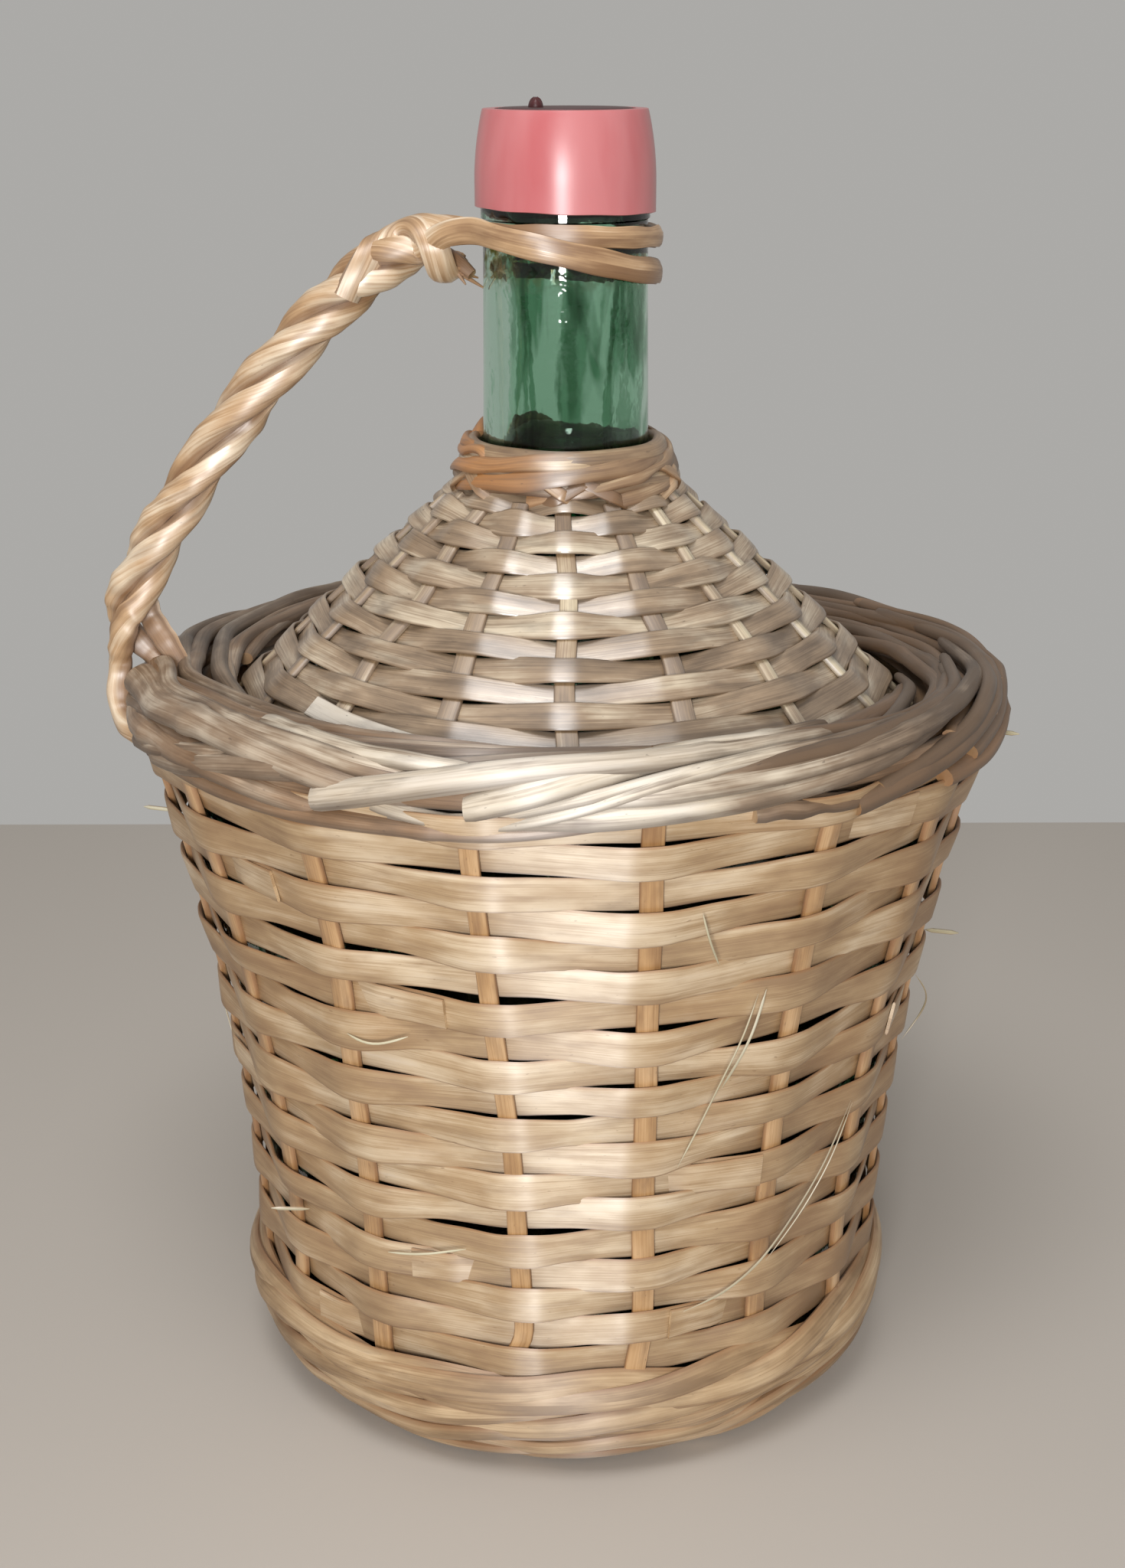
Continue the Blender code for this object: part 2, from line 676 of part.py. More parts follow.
def glass_outline(inset):
    """The glass from the middle of its base to the foot of its neck, moved in by inset."""
    base = GLASS_BASE_HEIGHT + inset
    heel_centre_height = GLASS_BASE_HEIGHT + GLASS_HEEL_RADIUS
    heel_centre_radius = wall_radius(heel_centre_height) - GLASS_SIDE_OFFSET - GLASS_HEEL_RADIUS
    outline = [(0.0, base + GLASS_PUNT_DEPTH), (GLASS_PUNT_RADIUS, base + GLASS_PUNT_DEPTH / 2)]
    outline += arc((heel_centre_radius, heel_centre_height), GLASS_HEEL_RADIUS - inset, -90, 0)
    centre, round_height, lean = shoulder_round_centre()
    steps = 5
    for step in range(1, steps):
        height = heel_centre_height + (round_height - heel_centre_height) * step / steps
        slope = wall_lean(height)
        offset = GLASS_SIDE_OFFSET + inset
        outline.append((wall_radius(height) - offset * math.cos(slope), height + offset * math.sin(slope)))
    cone_turn = 90 - math.degrees(SHOULDER_ANGLE)
    outline += arc(centre, GLASS_SHOULDER_ROUND - inset, -math.degrees(lean), cone_turn)
    neck_radius = NECK_FOOT_RADIUS
    fillet_radius = neck_radius + NECK_FILLET
    tangent_radius = fillet_radius - NECK_FILLET * math.sin(SHOULDER_ANGLE)
    tangent_height = glass_cone_height(tangent_radius)
    fillet_height = tangent_height + NECK_FILLET * math.cos(SHOULDER_ANGLE)
    outline += arc((fillet_radius, fillet_height), NECK_FILLET + inset, 180 + cone_turn, 180)
    return outline


def cap_outer_radius(height):
    """The cap is a barrel: straight at the bottom, drawn in towards its top."""
    share = max(height - CAP_WIDEST_HEIGHT, 0.0) / (CAP_TOP - CAP_WIDEST_HEIGHT)
    return CAP_RADIUS - CAP_TOP_DRAW_IN * share**2


def cap_heights(top):
    """Heights at which the cap and the glass under it are drawn."""
    steps = 3
    rise = [CAP_WIDEST_HEIGHT + (top - CAP_WIDEST_HEIGHT) * step / steps for step in range(steps + 1)]
    return [CAP_BOTTOM] + rise


def build_glass(material):
    outline = glass_outline(0.0)
    outline.append((NECK_TOP_RADIUS, NECK_TOP_HEIGHT))
    inside_cap = CAP_WALL + CAP_PLAY
    for height in cap_heights(LIP_HEIGHT - LIP_ROUND):
        outline.append((cap_outer_radius(height) - inside_cap, height + GAP))
    lip_outer = cap_outer_radius(LIP_HEIGHT) - inside_cap - LIP_ROUND
    outline.append((lip_outer + LIP_ROUND / 2, LIP_HEIGHT - LIP_ROUND / 4))
    outline.append((lip_outer, LIP_HEIGHT))
    outline.append((BORE_RADIUS + LIP_ROUND / 2, LIP_HEIGHT))
    outline.append((BORE_RADIUS, LIP_HEIGHT - LIP_ROUND / 2))
    outline.append((BORE_RADIUS, NECK_TOP_HEIGHT))
    outline.append((NECK_TOP_RADIUS - NECK_WALL, NECK_TOP_HEIGHT - NECK_WALL))
    inner = glass_outline(GLASS_WALL)
    inner[-1] = (NECK_FOOT_RADIUS - NECK_WALL, inner[-1][1])
    turned("glass_bottle", outline + inner[::-1], material)


# Cap and stopper


def build_cap(material):
    seat = LIP_HEIGHT + GAP
    outer = [(cap_outer_radius(height), height) for height in cap_heights(CAP_TOP - CAP_WALL / 2)]
    inner = [(cap_outer_radius(height) - CAP_WALL, height) for height in cap_heights(seat)]
    crown = [(cap_outer_radius(CAP_TOP) - CAP_WALL / 2, CAP_TOP)]
    opening = [(CAP_OPENING_RADIUS, CAP_TOP), (CAP_OPENING_RADIUS, seat)]
    turned("cap_sleeve", outer + crown + opening + inner[::-1], material, ring=True)


def build_stopper(material):
    """A plug in the bore with a thin head on the lip, and the moulding nub left on its head."""
    plug = BORE_RADIUS - GAP
    bottom = LIP_HEIGHT - STOPPER_LENGTH
    seat = LIP_HEIGHT + GAP
    head_top = seat + STOPPER_HEAD_THICKNESS
    outline = [
        (0.0, bottom),
        (plug - STOPPER_CHAMFER, bottom),
        (plug, bottom + STOPPER_CHAMFER),
        (plug, seat),
        (STOPPER_HEAD_RADIUS, seat),
        (STOPPER_HEAD_RADIUS, head_top - STOPPER_CHAMFER / 2),
        (STOPPER_HEAD_RADIUS - STOPPER_CHAMFER, head_top),
        (0.0, head_top),
    ]
    stopper = turned("stopper", outline, material)
    bm = bmesh.new()
    bmesh.ops.create_cone(
        bm,
        cap_ends=True,
        segments=10,
        radius1=NUB_RADIUS,
        radius2=NUB_RADIUS / 2,
        depth=2 * NUB_HEIGHT,
    )
    bmesh.ops.translate(bm, vec=(-NUB_OFFSET, 0.0, head_top), verts=bm.verts)
    nub = place("nub_guide", bm, material)
    nub.hide_render = True
    nub.display_type = "WIRE"
    join = stopper.modifiers.new("nub", "BOOLEAN")
    join.operation = "UNION"
    join.solver = "EXACT"
    join.object = nub


# Handle

RIM_OUTER_RADIUS = RIM_EDGE_ROD_RADIUS + RIM_ROD_DIAMETER / 2


def handle_bezier():
    """Four control points of the handle's middle line: distance from the axis, and height."""
    foot_height = brim_rod_centre(-math.pi / 2, 0)[1]
    return (
        Vector((RIM_OUTER_RADIUS + HANDLE_FOOT_OUT, foot_height + HANDLE_FOOT_RISE)),
        Vector((RIM_OUTER_RADIUS + HANDLE_LOWER_PULL[0], foot_height + HANDLE_LOWER_PULL[1])),
        Vector((RIM_OUTER_RADIUS + HANDLE_UPPER_PULL[0], foot_height + HANDLE_UPPER_PULL[1])),
        Vector((NECK_TOP_RADIUS + HANDLE_HEAD_OUT, NECK_TOP_HEIGHT - HANDLE_HEAD_DROP)),
    )


def handle_middle(share):
    """Point and direction of the handle's middle line, in the upright plane through the axis."""
    a, b, c, d = handle_bezier()
    rest = 1 - share
    point = rest**3 * a + 3 * rest**2 * share * b + 3 * rest * share**2 * c + share**3 * d
    run = 3 * rest**2 * (b - a) + 6 * rest * share * (c - b) + 3 * share**2 * (d - c)
    return Vector((-point.x, 0.0, point.y)), Vector((-run.x, 0.0, run.y)).normalized()


def round_section(point, run, up, radius):
    """A round section square to run, with its first corner to the side of up."""
    side = run.cross(up).normalized()
    true_up = side.cross(run).normalized()
    return [point + radius * (across * side + tall * true_up) for across, tall in ROD_OUTLINE]


def twisted_strand(phase):
    """Centres, runs and outward directions along one strand of the twist, from its foot to its head."""
    lay = (HANDLE_ROD_DIAMETER + GAP) / math.sqrt(3)
    side = Vector((0.0, 1.0, 0.0))
    strand = []
    for station in range(HANDLE_STATIONS):
        share = station / (HANDLE_STATIONS - 1)
        point, run = handle_middle(share)
        outward = run.cross(side).normalized()
        turn = phase + 2 * math.pi * HANDLE_TURNS * (1 - share)
        centre = point + lay * (math.cos(turn) * outward + math.sin(turn) * side)
        strand.append((centre, run, outward))
    return strand


def smooth_line(points, samples):
    """Points along a smooth curve through the given points."""
    line = []
    for index in range(len(points) - 1):
        p0 = points[max(index - 1, 0)]
        p1 = points[index]
        p2 = points[index + 1]
        p3 = points[min(index + 2, len(points) - 1)]
        for sample in range(samples):
            t = sample / samples
            line.append(
                0.5
                * (
                    2 * p1
                    + (p2 - p0) * t
                    + (2 * p0 - 5 * p1 + 4 * p2 - p3) * t**2
                    + (3 * p1 - p0 - 3 * p2 + p3) * t**3
                )
            )
    line.append(points[-1])
    return line


def carried_sections(line, up, start_radius, end_radius, way=1):
    """Sections along a line, turned as little as possible. way is -1 where the rod runs against the line."""
    sections = []
    for index, point in enumerate(line):
        before = line[max(index - 1, 0)]
        after = line[min(index + 1, len(line) - 1)]
        run = way * (after - before).normalized()
        up = (up - up.dot(run) * run).normalized()
        share = index / (len(line) - 1)
        radius = start_radius + share * (end_radius - start_radius)
        sections.append(round_section(point, run, up, radius))
    return sections


def tie_line(drops):
    """A tie's path, at drops below the neck's top: from the handle, past the front, to the back."""
    radius = NECK_FOOT_RADIUS + GAP + HANDLE_TIE_DIAMETER / 2
    points = []
    for station in range(TIE_STATIONS):
        share = station / (TIE_STATIONS - 1)
        along = share * (len(drops) - 1)
        low = min(int(along), len(drops) - 2)
        drop = drops[low] + (along - low) * (drops[low + 1] - drops[low])
        points.append(around(TIE_START + share * (TIE_END - TIE_START), radius, NECK_TOP_HEIGHT - drop))
    return points


def turn_in_point(place):
    """Where a rod turns into its tie: out from the neck, forwards, and below the neck's top."""
    out, forward, drop = place
    return Vector((-(NECK_FOOT_RADIUS + out), -forward, NECK_TOP_HEIGHT - drop))


def foot_line(route, start):
    """Where a rod goes below the twist. A route is measured from the rim's outside and the brim's top."""
    brim_top = brim_rod_centre(-math.pi / 2, 0)[1] + RIM_ROD_DIAMETER / 2
    places = [Vector((-(RIM_OUTER_RADIUS + out), side, brim_top + rise)) for out, side, rise in route]
    return [start] + places


def build_handle(material):
    """Rods 1 and 2 go on round the neck as its ties, and rod 3 ends against the neck."""
    rods = (
        (math.radians(-120), FOOT_HOOK, TURN_IN_LOWER, TIE_LOWER_DROPS),
        (0.0, FOOT_INNER_END, TURN_IN_UPPER, TIE_UPPER_DROPS),
        (math.radians(120), FOOT_EDGE_END, None, None),
    )
    thick = HANDLE_ROD_DIAMETER / 2
    thin = HANDLE_TIE_DIAMETER / 2
    for number, (phase, route, turn_in, drops) in enumerate(rods, start=1):
        strand = twisted_strand(phase)
        foot = smooth_line(foot_line(route, strand[0][0]), 2)
        lower = carried_sections(foot, strand[0][2], thick, thin, way=-1)[1:]
        middle = [round_section(centre, run, outward, thick) for centre, run, outward in strand]
        head, _, outward = strand[-1]
        if turn_in:
            loop = tie_line(drops)
            lead = smooth_line([head, turn_in_point(turn_in), loop[0]], 3)
            upper = carried_sections(lead[1:-1], outward, thick, thin)
            upper += carried_sections(loop, outward, thin, thin)
        else:
            tip = Vector((-(NECK_FOOT_RADIUS + 2 * GAP), head.y, head.z))
            upper = carried_sections([head.lerp(tip, 0.5), tip], outward, thick, thin)
        bm = bmesh.new()
        skin(bm, lower[::-1] + middle + upper, closed=False)
        place(f"handle_rod_{number}", bm, material, smooth=True)


def main():
    clear_scene()
    side_willow = finish("side_willow", (0.53, 0.36, 0.20), 0.55)
    stake_willow = finish("stake_willow", (0.44, 0.23, 0.09), 0.60)
    grey_willow = finish("grey_willow", (0.31, 0.22, 0.14), 0.55)
    rim_willow = finish("rim_willow", (0.29, 0.19, 0.11), 0.60)
    collar_willow = finish("collar_willow", (0.36, 0.17, 0.06), 0.60)
    foot_willow = finish("foot_willow", (0.46, 0.29, 0.14), 0.60)
    handle_willow = finish("handle_willow", (0.54, 0.31, 0.14), 0.45)
    green_glass = finish("green_glass", (0.05, 0.28, 0.17), 0.05, transmission=1.0)
    pink_plastic = finish("pink_plastic", (0.66, 0.15, 0.17), 0.35)
    dark_plastic = finish("dark_plastic", (0.06, 0.02, 0.02), 0.50)

    build_glass(green_glass)
    build_stopper(dark_plastic)
    build_cap(pink_plastic)
    build_base_weave(foot_willow)
    build_foot(foot_willow)
    build_side_stakes(stake_willow)
    build_side_rows(side_willow)
    build_shoulder_frame(collar_willow)
    build_shoulder_rows(grey_willow)
    build_rim(rim_willow)
    build_handle(handle_willow)


main()
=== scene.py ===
"""The wicker demijohn: green glass in a woven willow basket, dressed over its CAD frame.

Metres, +Z up. Angles round the basket start at the front (-Y) and grow towards +X. The handle is at -90 degrees.
"""

from math import atan2, cos, hypot, pi, radians, sin, sqrt, tan

import bmesh
import bpy
import numpy as np
from mathutils import Matrix, Vector


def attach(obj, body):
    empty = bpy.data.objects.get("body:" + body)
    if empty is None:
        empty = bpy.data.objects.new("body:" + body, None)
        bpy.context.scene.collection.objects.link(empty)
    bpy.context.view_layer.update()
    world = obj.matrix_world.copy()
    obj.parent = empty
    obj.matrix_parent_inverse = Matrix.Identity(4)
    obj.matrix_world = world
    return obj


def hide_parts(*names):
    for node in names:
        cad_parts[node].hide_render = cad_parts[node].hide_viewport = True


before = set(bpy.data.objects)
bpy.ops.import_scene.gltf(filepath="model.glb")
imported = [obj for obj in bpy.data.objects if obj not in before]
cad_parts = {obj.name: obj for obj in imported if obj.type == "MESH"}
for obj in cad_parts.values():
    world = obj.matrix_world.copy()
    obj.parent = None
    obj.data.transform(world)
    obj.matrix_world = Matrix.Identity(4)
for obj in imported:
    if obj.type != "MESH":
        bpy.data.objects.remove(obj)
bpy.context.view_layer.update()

# Side stakes
# Sixteen flat uprights of split willow, peeled, so their faces are smooth and orange tan. Each is half of a
# strip that runs down one side, under the bottle and up the other side; the ends are turned into the rim.

TURN = 2 * pi
STAKES = 16
BAY = TURN / STAKES
STAKE_WIDTH = 0.0056
STAKE_THICKNESS = 0.0017
STAKE_SPACING = 0.0061
FOOT_BEND = 0.016
WALL_START = 0.03
WALL_LENGTH = 0.142
WALL_RADIUS = 0.0826
WALL_FLARE = 0.0224
BRIM_HEIGHT = 0.1902
BRIM_SAG = 0.0046


def linear(colour):
    """A colour written as sRGB hex, as linear RGBA."""
    shares = [int(colour[place:place + 2], 16) / 255 for place in (0, 2, 4)]
    return [s / 12.92 if s <= 0.04045 else ((s + 0.055) / 1.055) ** 2.4 for s in shares] + [1]


def feed(node, inputs):
    """Sets a node's inputs. Each takes a value, another node's output, or a node for its first output."""
    for name, value in inputs.items():
        if isinstance(value, bpy.types.Node):
            value = next(output for output in value.outputs if output.enabled)
        if isinstance(value, bpy.types.NodeSocket):
            node.id_data.links.new(value, node.inputs[name])
        else:
            node.inputs[name].default_value = value


def add_node(tree, kind, inputs, stops=(), **settings):
    """Adds one shader node with its settings and inputs, and with its stops where it is a ramp."""
    node = tree.nodes.new("ShaderNode" + kind)
    for name, value in settings.items():
        setattr(node, name, value)
    feed(node, inputs)
    for number, (position, colour) in enumerate(stops):
        marks = node.color_ramp.elements
        mark = marks[number] if number < 2 else marks.new(position)
        mark.position, mark.color = position, colour
    return node


def new_material(name, inputs):
    """A material, its node tree, and its surface shader with the inputs set."""
    material = bpy.data.materials.new(name)
    material.use_nodes = True
    shader = material.node_tree.nodes["Principled BSDF"]
    feed(shader, inputs)
    return material, material.node_tree, shader


def pattern(tree, place, sizes, detail, distortion=0):
    """Soft random patches, of about these sizes in mm along each axis."""
    drawn = add_node(tree, "Mapping", {"Vector": place, "Scale": [1000 / size for size in sizes]})
    return add_node(tree, "TexNoise", {"Vector": drawn, "Scale": 1, "Detail": detail, "Distortion": distortion})


def willow(name, dark, middle, light, stain, edge="8a5c34", bark="9a6b3e", stained=0.45, gloss=0.5, brushed=0.75,
           fibre_mm=0.35, relief=0.00012):
    """Split or peeled willow: long fine fibres, soft streaks and patches, weather stains and dark specks.

    The fibres run along each piece, because the map called grain measures metres along and across it. They
    give the satin shine, which is short along the fibres and long across them. The attribute called look holds how
    pale a piece is, which carries painted highlights and painted shade in places, how near a point lies to a
    strip's edge, where painted shade browns it, and how much bark colour is left, which on the side strips also
    carries painted shade.
    """
    material, tree, shader = new_material(name, {
        "IOR": 1.75, "Specular IOR Level": 1, "Anisotropic": brushed, "Anisotropic Rotation": 0.25,
    })
    grain = add_node(tree, "UVMap", {}, uv_map="grain")
    fibres, streaks, patches, stains, specks = (
        pattern(tree, grain, (along_mm, across_mm, 1000), detail)
        for along_mm, across_mm, detail in ((22, fibre_mm, 3), (55, 2.6, 3), (24, 9, 4), (15, 4, 5), (2.6, 0.9, 2))
    )
    fine = add_node(tree, "Mix", {"Factor": 0.5, "A": fibres, "B": streaks}, data_type="FLOAT")
    tone = add_node(tree, "Mix", {"Factor": 0.6, "A": fine, "B": patches}, data_type="FLOAT")
    look = add_node(tree, "Attribute", {}, attribute_name="look")
    pale, edge_shade, bark_and_shade = add_node(tree, "SeparateXYZ", {"Vector": look.outputs["Vector"]}).outputs
    shade = add_node(tree, "Math", {0: tone, 1: pale}, operation="ADD")
    palest = [0.7 * share + 0.3 for share in linear(light)]
    stops = ((0.37, linear(dark)), (0.5, linear(middle)), (0.63, linear(light)), (0.85, palest))
    colour = add_node(tree, "ValToRGB", {"Fac": shade}, stops)
    for source, low, high, most, tint in (
        (bark_and_shade, 0, 1, 1, bark),
        (fine, 0.5, 0.36, 0.4, dark),
        (stains, 0.52, 0.7, stained, stain),
        (specks, 0.7, 0.75, 0.5, stain),
        # Painted shade: pieces turn browner near their edges and where they lie against their neighbours.
        (edge_shade, 0.86, 1, 0.65, edge),
    ):
        mask = add_node(tree, "MapRange", {"Value": source, "From Min": low, "From Max": high, "To Max": most})
        colour = add_node(tree, "Mix", {"Factor": mask, "A": colour, "B": linear(tint)}, data_type="RGBA")
    rough = add_node(tree, "MapRange", {
        "Value": tone, "From Min": 0.35, "From Max": 0.65, "To Min": gloss + 0.12, "To Max": gloss - 0.08,
    })
    bump = add_node(tree, "Bump", {"Height": fine, "Strength": 0.7, "Distance": relief})
    along = add_node(tree, "Tangent", {}, direction_type="UV_MAP", uv_map="grain")
    feed(shader, {"Base Color": colour, "Roughness": rough, "Normal": bump, "Tangent": along})
    return material


cut_willow = willow("cut_willow_end", "8b6d49", "ab8d66", "c9ae86", "7a5230", stained=0.2, gloss=0.6)

ROUND = np.array([(cos(TURN * k / 12), sin(TURN * k / 12)) for k in range(12)])
FLAT = np.array([
    (0, -1), (0.65, -0.97), (1, -0.85), (1.1, 0), (1, 0.85), (0.65, 0.97), (0, 1),
    (-0.6, 0.96), (-0.95, 0.8), (-1, 0), (-0.95, -0.8), (-0.6, -0.96),
])


def around(angle, radius, height):
    """Points at angles round the basket, radii and heights."""
    angle, radius, height = np.broadcast_arrays(angle, radius, height)
    return np.stack([radius * np.sin(angle), -radius * np.cos(angle), height], axis=-1)


def bearing(points):
    """The angles round the basket at which points lie."""
    return np.arctan2(points[:, 0], -points[:, 1])


def limited(value):
    return np.clip(value, 0, 1)


def unit(vectors):
    return vectors / np.linalg.norm(vectors, axis=-1, keepdims=True)


def runs(centres, closed):
    """The way a length of willow runs at each of its points."""
    if closed:
        return unit(np.roll(centres, -1, axis=0) - np.roll(centres, 1, axis=0))
    return unit(np.gradient(centres, axis=0))


def distances(points):
    """How far along a line each of its points lies."""
    return np.concatenate([[0], np.cumsum(np.linalg.norm(np.diff(points, axis=0), axis=1))])


def smooth(values, passes, closed=False):
    """Draws the values along a length towards their neighbours, in place. An open length keeps its ends."""
    moved = slice(None) if closed else slice(1, -1)
    for _ in range(passes):
        drawn = (np.roll(values, 1, axis=0) + 2 * values + np.roll(values, -1, axis=0)) / 4
        values[moved] = drawn[moved]
    return values


def eased(corners, spacing, passes, closed=False):
    """Even points along the stretches between corners, rounded off. Columns after the third ride along."""
    line = np.vstack([corners, corners[:1]]) if closed else np.asarray(corners, float)
    reach = distances(line[:, :3])
    count = max(int(reach[-1] / spacing), 4)
    places = np.linspace(0, reach[-1], count, endpoint=not closed)
    points = np.stack([np.interp(places, reach, column) for column in line.T], axis=1)
    return smooth(points, passes, closed)


def wander(count, waves):
    """A slow drift along a length, mostly between -1 and 1, by the section's own chance."""
    turn = np.linspace(0, TURN, count, endpoint=False)
    total = np.zeros(count)
    for wave in range(1, waves + 1):
        total += chance.normal() * np.cos(wave * turn + chance.uniform(0, TURN))
    return total / sqrt(waves)


def swept(centres, hints, outline, deep, tall, closed=False, grain=0, twist=0, tone=0, warm=0):
    """One length of willow: its points, faces, the grain's place at every corner, its cut ends and its look.

    hints point out of the piece's flat face, deep is half its thickness and tall half its width. A strip is
    browner at its edges, a round rod along its sides, and a twisted strand where it lies against the others:
    painted shade where pieces meet.
    """
    count, sides = len(centres), len(outline)
    edge = np.abs(outline[:, 1])
    if outline is ROUND:
        edge = 0.8 + 0.2 * edge**3
    elif outline is not FLAT:
        edge = 0.95 - 0.3 * outline[:, 0]
    deep, tall, twist, tone, warm = (
        np.broadcast_to(value, count)[:, None] for value in (deep, tall, twist, tone, warm)
    )
    run = runs(centres, closed)
    outs = unit(hints - np.sum(hints * run, axis=1, keepdims=True) * run)
    ups = np.cross(outs, run)
    outs, ups = outs * np.cos(twist) + ups * np.sin(twist), ups * np.cos(twist) - outs * np.sin(twist)
    deeps, talls = (deep * outline[:, 0])[..., None], (tall * outline[:, 1])[..., None]
    points = centres[:, None] + outs[:, None] * deeps + ups[:, None] * talls
    cut_end = outline * (deep.mean(), tall.mean())
    along = 0.618 * grain % 3 + distances(np.vstack([centres, centres[:1]]))
    across = 0.377 * grain % 2 + distances(np.vstack([cut_end, cut_end[:1]]))
    step, side = (spots.ravel() for spots in np.mgrid[:count if closed else count - 1, :sides])
    here, there = step * sides, (step + 1) % count * sides
    beside = (side + 1) % sides
    faces = np.stack([here + side, there + side, there + beside, here + beside], axis=1)
    lows, highs = across[side], across[side + 1]
    starts, stops = along[step], along[step + 1]
    places = np.stack([starts, lows, stops, lows, stops, highs, starts, highs], axis=1).reshape(-1, 2)
    ends = [] if closed else [np.arange(sides), np.arange(sides) + (count - 1) * sides]
    look = np.stack(np.broadcast_arrays(tone, edge, warm), axis=-1)
    return points.reshape(-1, 3), faces, places, ends, cut_end, look.reshape(-1, 3)


def placed(name, data):
    thing = bpy.data.objects.new(name, data)
    bpy.context.scene.collection.objects.link(thing)
    return thing


def finished(name, mesh, crease, body, nodes):
    """A mesh as a piece on its body: faces turned outwards, and smooth up to a crease in degrees."""
    shape = bmesh.new()
    shape.from_mesh(mesh)
    bmesh.ops.recalc_face_normals(shape, faces=shape.faces)
    shape.to_mesh(mesh)
    shape.free()
    mesh.shade_smooth()
    mesh.set_sharp_from_angle(angle=radians(crease))
    piece = placed(name, mesh)
    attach(piece, body)
    if nodes:
        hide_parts(*nodes)
    return piece


def willow_piece(name, lengths, material, nodes=()):
    """One object made of lengths of willow with pale cut ends, riding on the bottle."""
    points, faces, places, kinds, looks = [], [], [], [], []
    start = 0
    for verts, quads, corners, ends, cut_end, look in lengths:
        points.append(verts)
        looks.append(look)
        faces += (quads + start).tolist() + [(end + start).tolist() for end in ends]
        places += [corners] + [cut_end] * len(ends)
        kinds += [0] * len(quads) + [1] * len(ends)
        start += len(verts)
    mesh = bpy.data.meshes.new(name)
    mesh.from_pydata(np.concatenate(points).tolist(), [], faces)
    grain = mesh.uv_layers.new(name="grain")
    grain.data.foreach_set("uv", np.concatenate(places).astype(np.float32).ravel())
    mesh.polygons.foreach_set("material_index", np.array(kinds, dtype=np.int32))
    look = mesh.attributes.new("look", "FLOAT_VECTOR", "POINT")
    look.data.foreach_set("vector", np.concatenate(looks).astype(np.float32).ravel())
    mesh.materials.append(material)
    mesh.materials.append(cut_willow)
    finished(name, mesh, 50, "bottle", nodes)


def wall_radius(height):
    """The wall's radius at the middle of its stakes, a slow flare upwards."""
    return WALL_RADIUS + WALL_FLARE * np.clip((np.asarray(height) - WALL_START) / WALL_LENGTH, 0, None) ** 1.7


def wall_lean(height):
    return float(np.arctan((wall_radius(height + 0.001) - wall_radius(height - 0.001)) / 0.002))


def brim_height(angle):
    """Middle of the brim's rods, highest at the front."""
    return BRIM_HEIGHT - BRIM_SAG * (1 - ((1 + np.cos(angle)) / 2) ** 2)


def stake_angle(stake, height):
    """Where a stake stands at a height. Each one leans a little, and one leans a lot."""
    low = limited((0.172 - height) / 0.125) * limited((height - 0.01) / 0.02)
    high = limited((height - 0.05) / 0.12)
    return float((stake + 0.5) * BAY + low * LEANS[stake % STAKES, 0] + high * LEANS[stake % STAKES, 1])


def half_stake(turn, spread, level, fan, crossed):
    """Half a stake's corners from under the bottle up to the rim, and the ways its face looks."""
    leave = crossed * STAKE_SPACING / 2 + 0.0006
    angle = turn + fan + pi / 2
    down = [0, 0, -1]
    across = leave * cos(turn) - spread * sin(turn)
    ahead = leave * sin(turn) + spread * cos(turn)
    corners = [[across, ahead, level, *down], [*around(angle, 0.026, 0.004), *down]]
    for bend in np.radians(np.linspace(-90, 0, 7)):
        place = around(angle, 0.0646 + FOOT_BEND * cos(bend), 0.02 + FOOT_BEND * sin(bend))
        corners.append([*place, *around(angle, cos(bend), sin(bend))])
    for height in np.linspace(WALL_START, float(brim_height(angle)) - 0.009, 16):
        lean = wall_lean(height)
        there = stake_angle(round(angle / BAY - 0.5), height) if height > 0.031 else angle
        place = around(there, wall_radius(height), height)
        corners.append([*place, *around(there, cos(lean), -sin(lean))])
    return corners


stake_willow = willow("peeled_willow_stakes", "8f673d", "b48b5b", "cfa97c", "6e4a2a", gloss=0.52)
chance = np.random.default_rng(3)
LEANS = chance.normal(size=(STAKES, 2)) * 0.01
LEANS[15, 0] = 0.07
stake = 0
for group, count, crossed, level in ((0, 5, 3, 0.001), (pi / 2, 3, 5, 0.0033)):
    for number in range(count):
        stake += 1
        spread = (number - (count - 1) / 2) * STAKE_SPACING
        fan = (number - (count - 1) / 2) * BAY
        ahead = half_stake(group + BAY / 2, spread, level, fan, crossed)
        behind = half_stake(group + BAY / 2 + pi, -spread, level, -fan, crossed)
        line = eased(behind[::-1] + ahead, 0.0025, 2)
        centres, hints = line[:, :3].copy(), line[:, 3:]
        upright = limited((centres[:, 2] - 0.035) / 0.03)
        sideways = 0.0006 * upright * wander(len(line), 9)
        centres += unit(np.cross(runs(centres, False), hints)) * sideways[:, None]
        slim = 1 - 0.2 * np.exp(-(((bearing(centres) + 0.19) / 0.1) ** 2))
        tall = (STAKE_WIDTH / 2 - 0.0001 + 0.0002 * wander(len(line), 9) * upright) * slim
        piece = swept(centres, hints, FLAT, STAKE_THICKNESS / 2, tall, grain=stake * 1.7)
        willow_piece(f"side_stake_{stake}_peeled", [piece], stake_willow, [f"side_stake_{stake}"])

# Side weavers
# Flat strips split from thick willow, woven over one stake and under the next: eighteen rows, and a narrow one
# under the rim. They are light tan with a satin face, and turn sharply where they cross a stake.

SIDE_ROWS = 18
SIDE_ROW_PITCH = 0.0081
SIDE_ROW_START = 0.0338
STRIP_SPACING = 0.0017


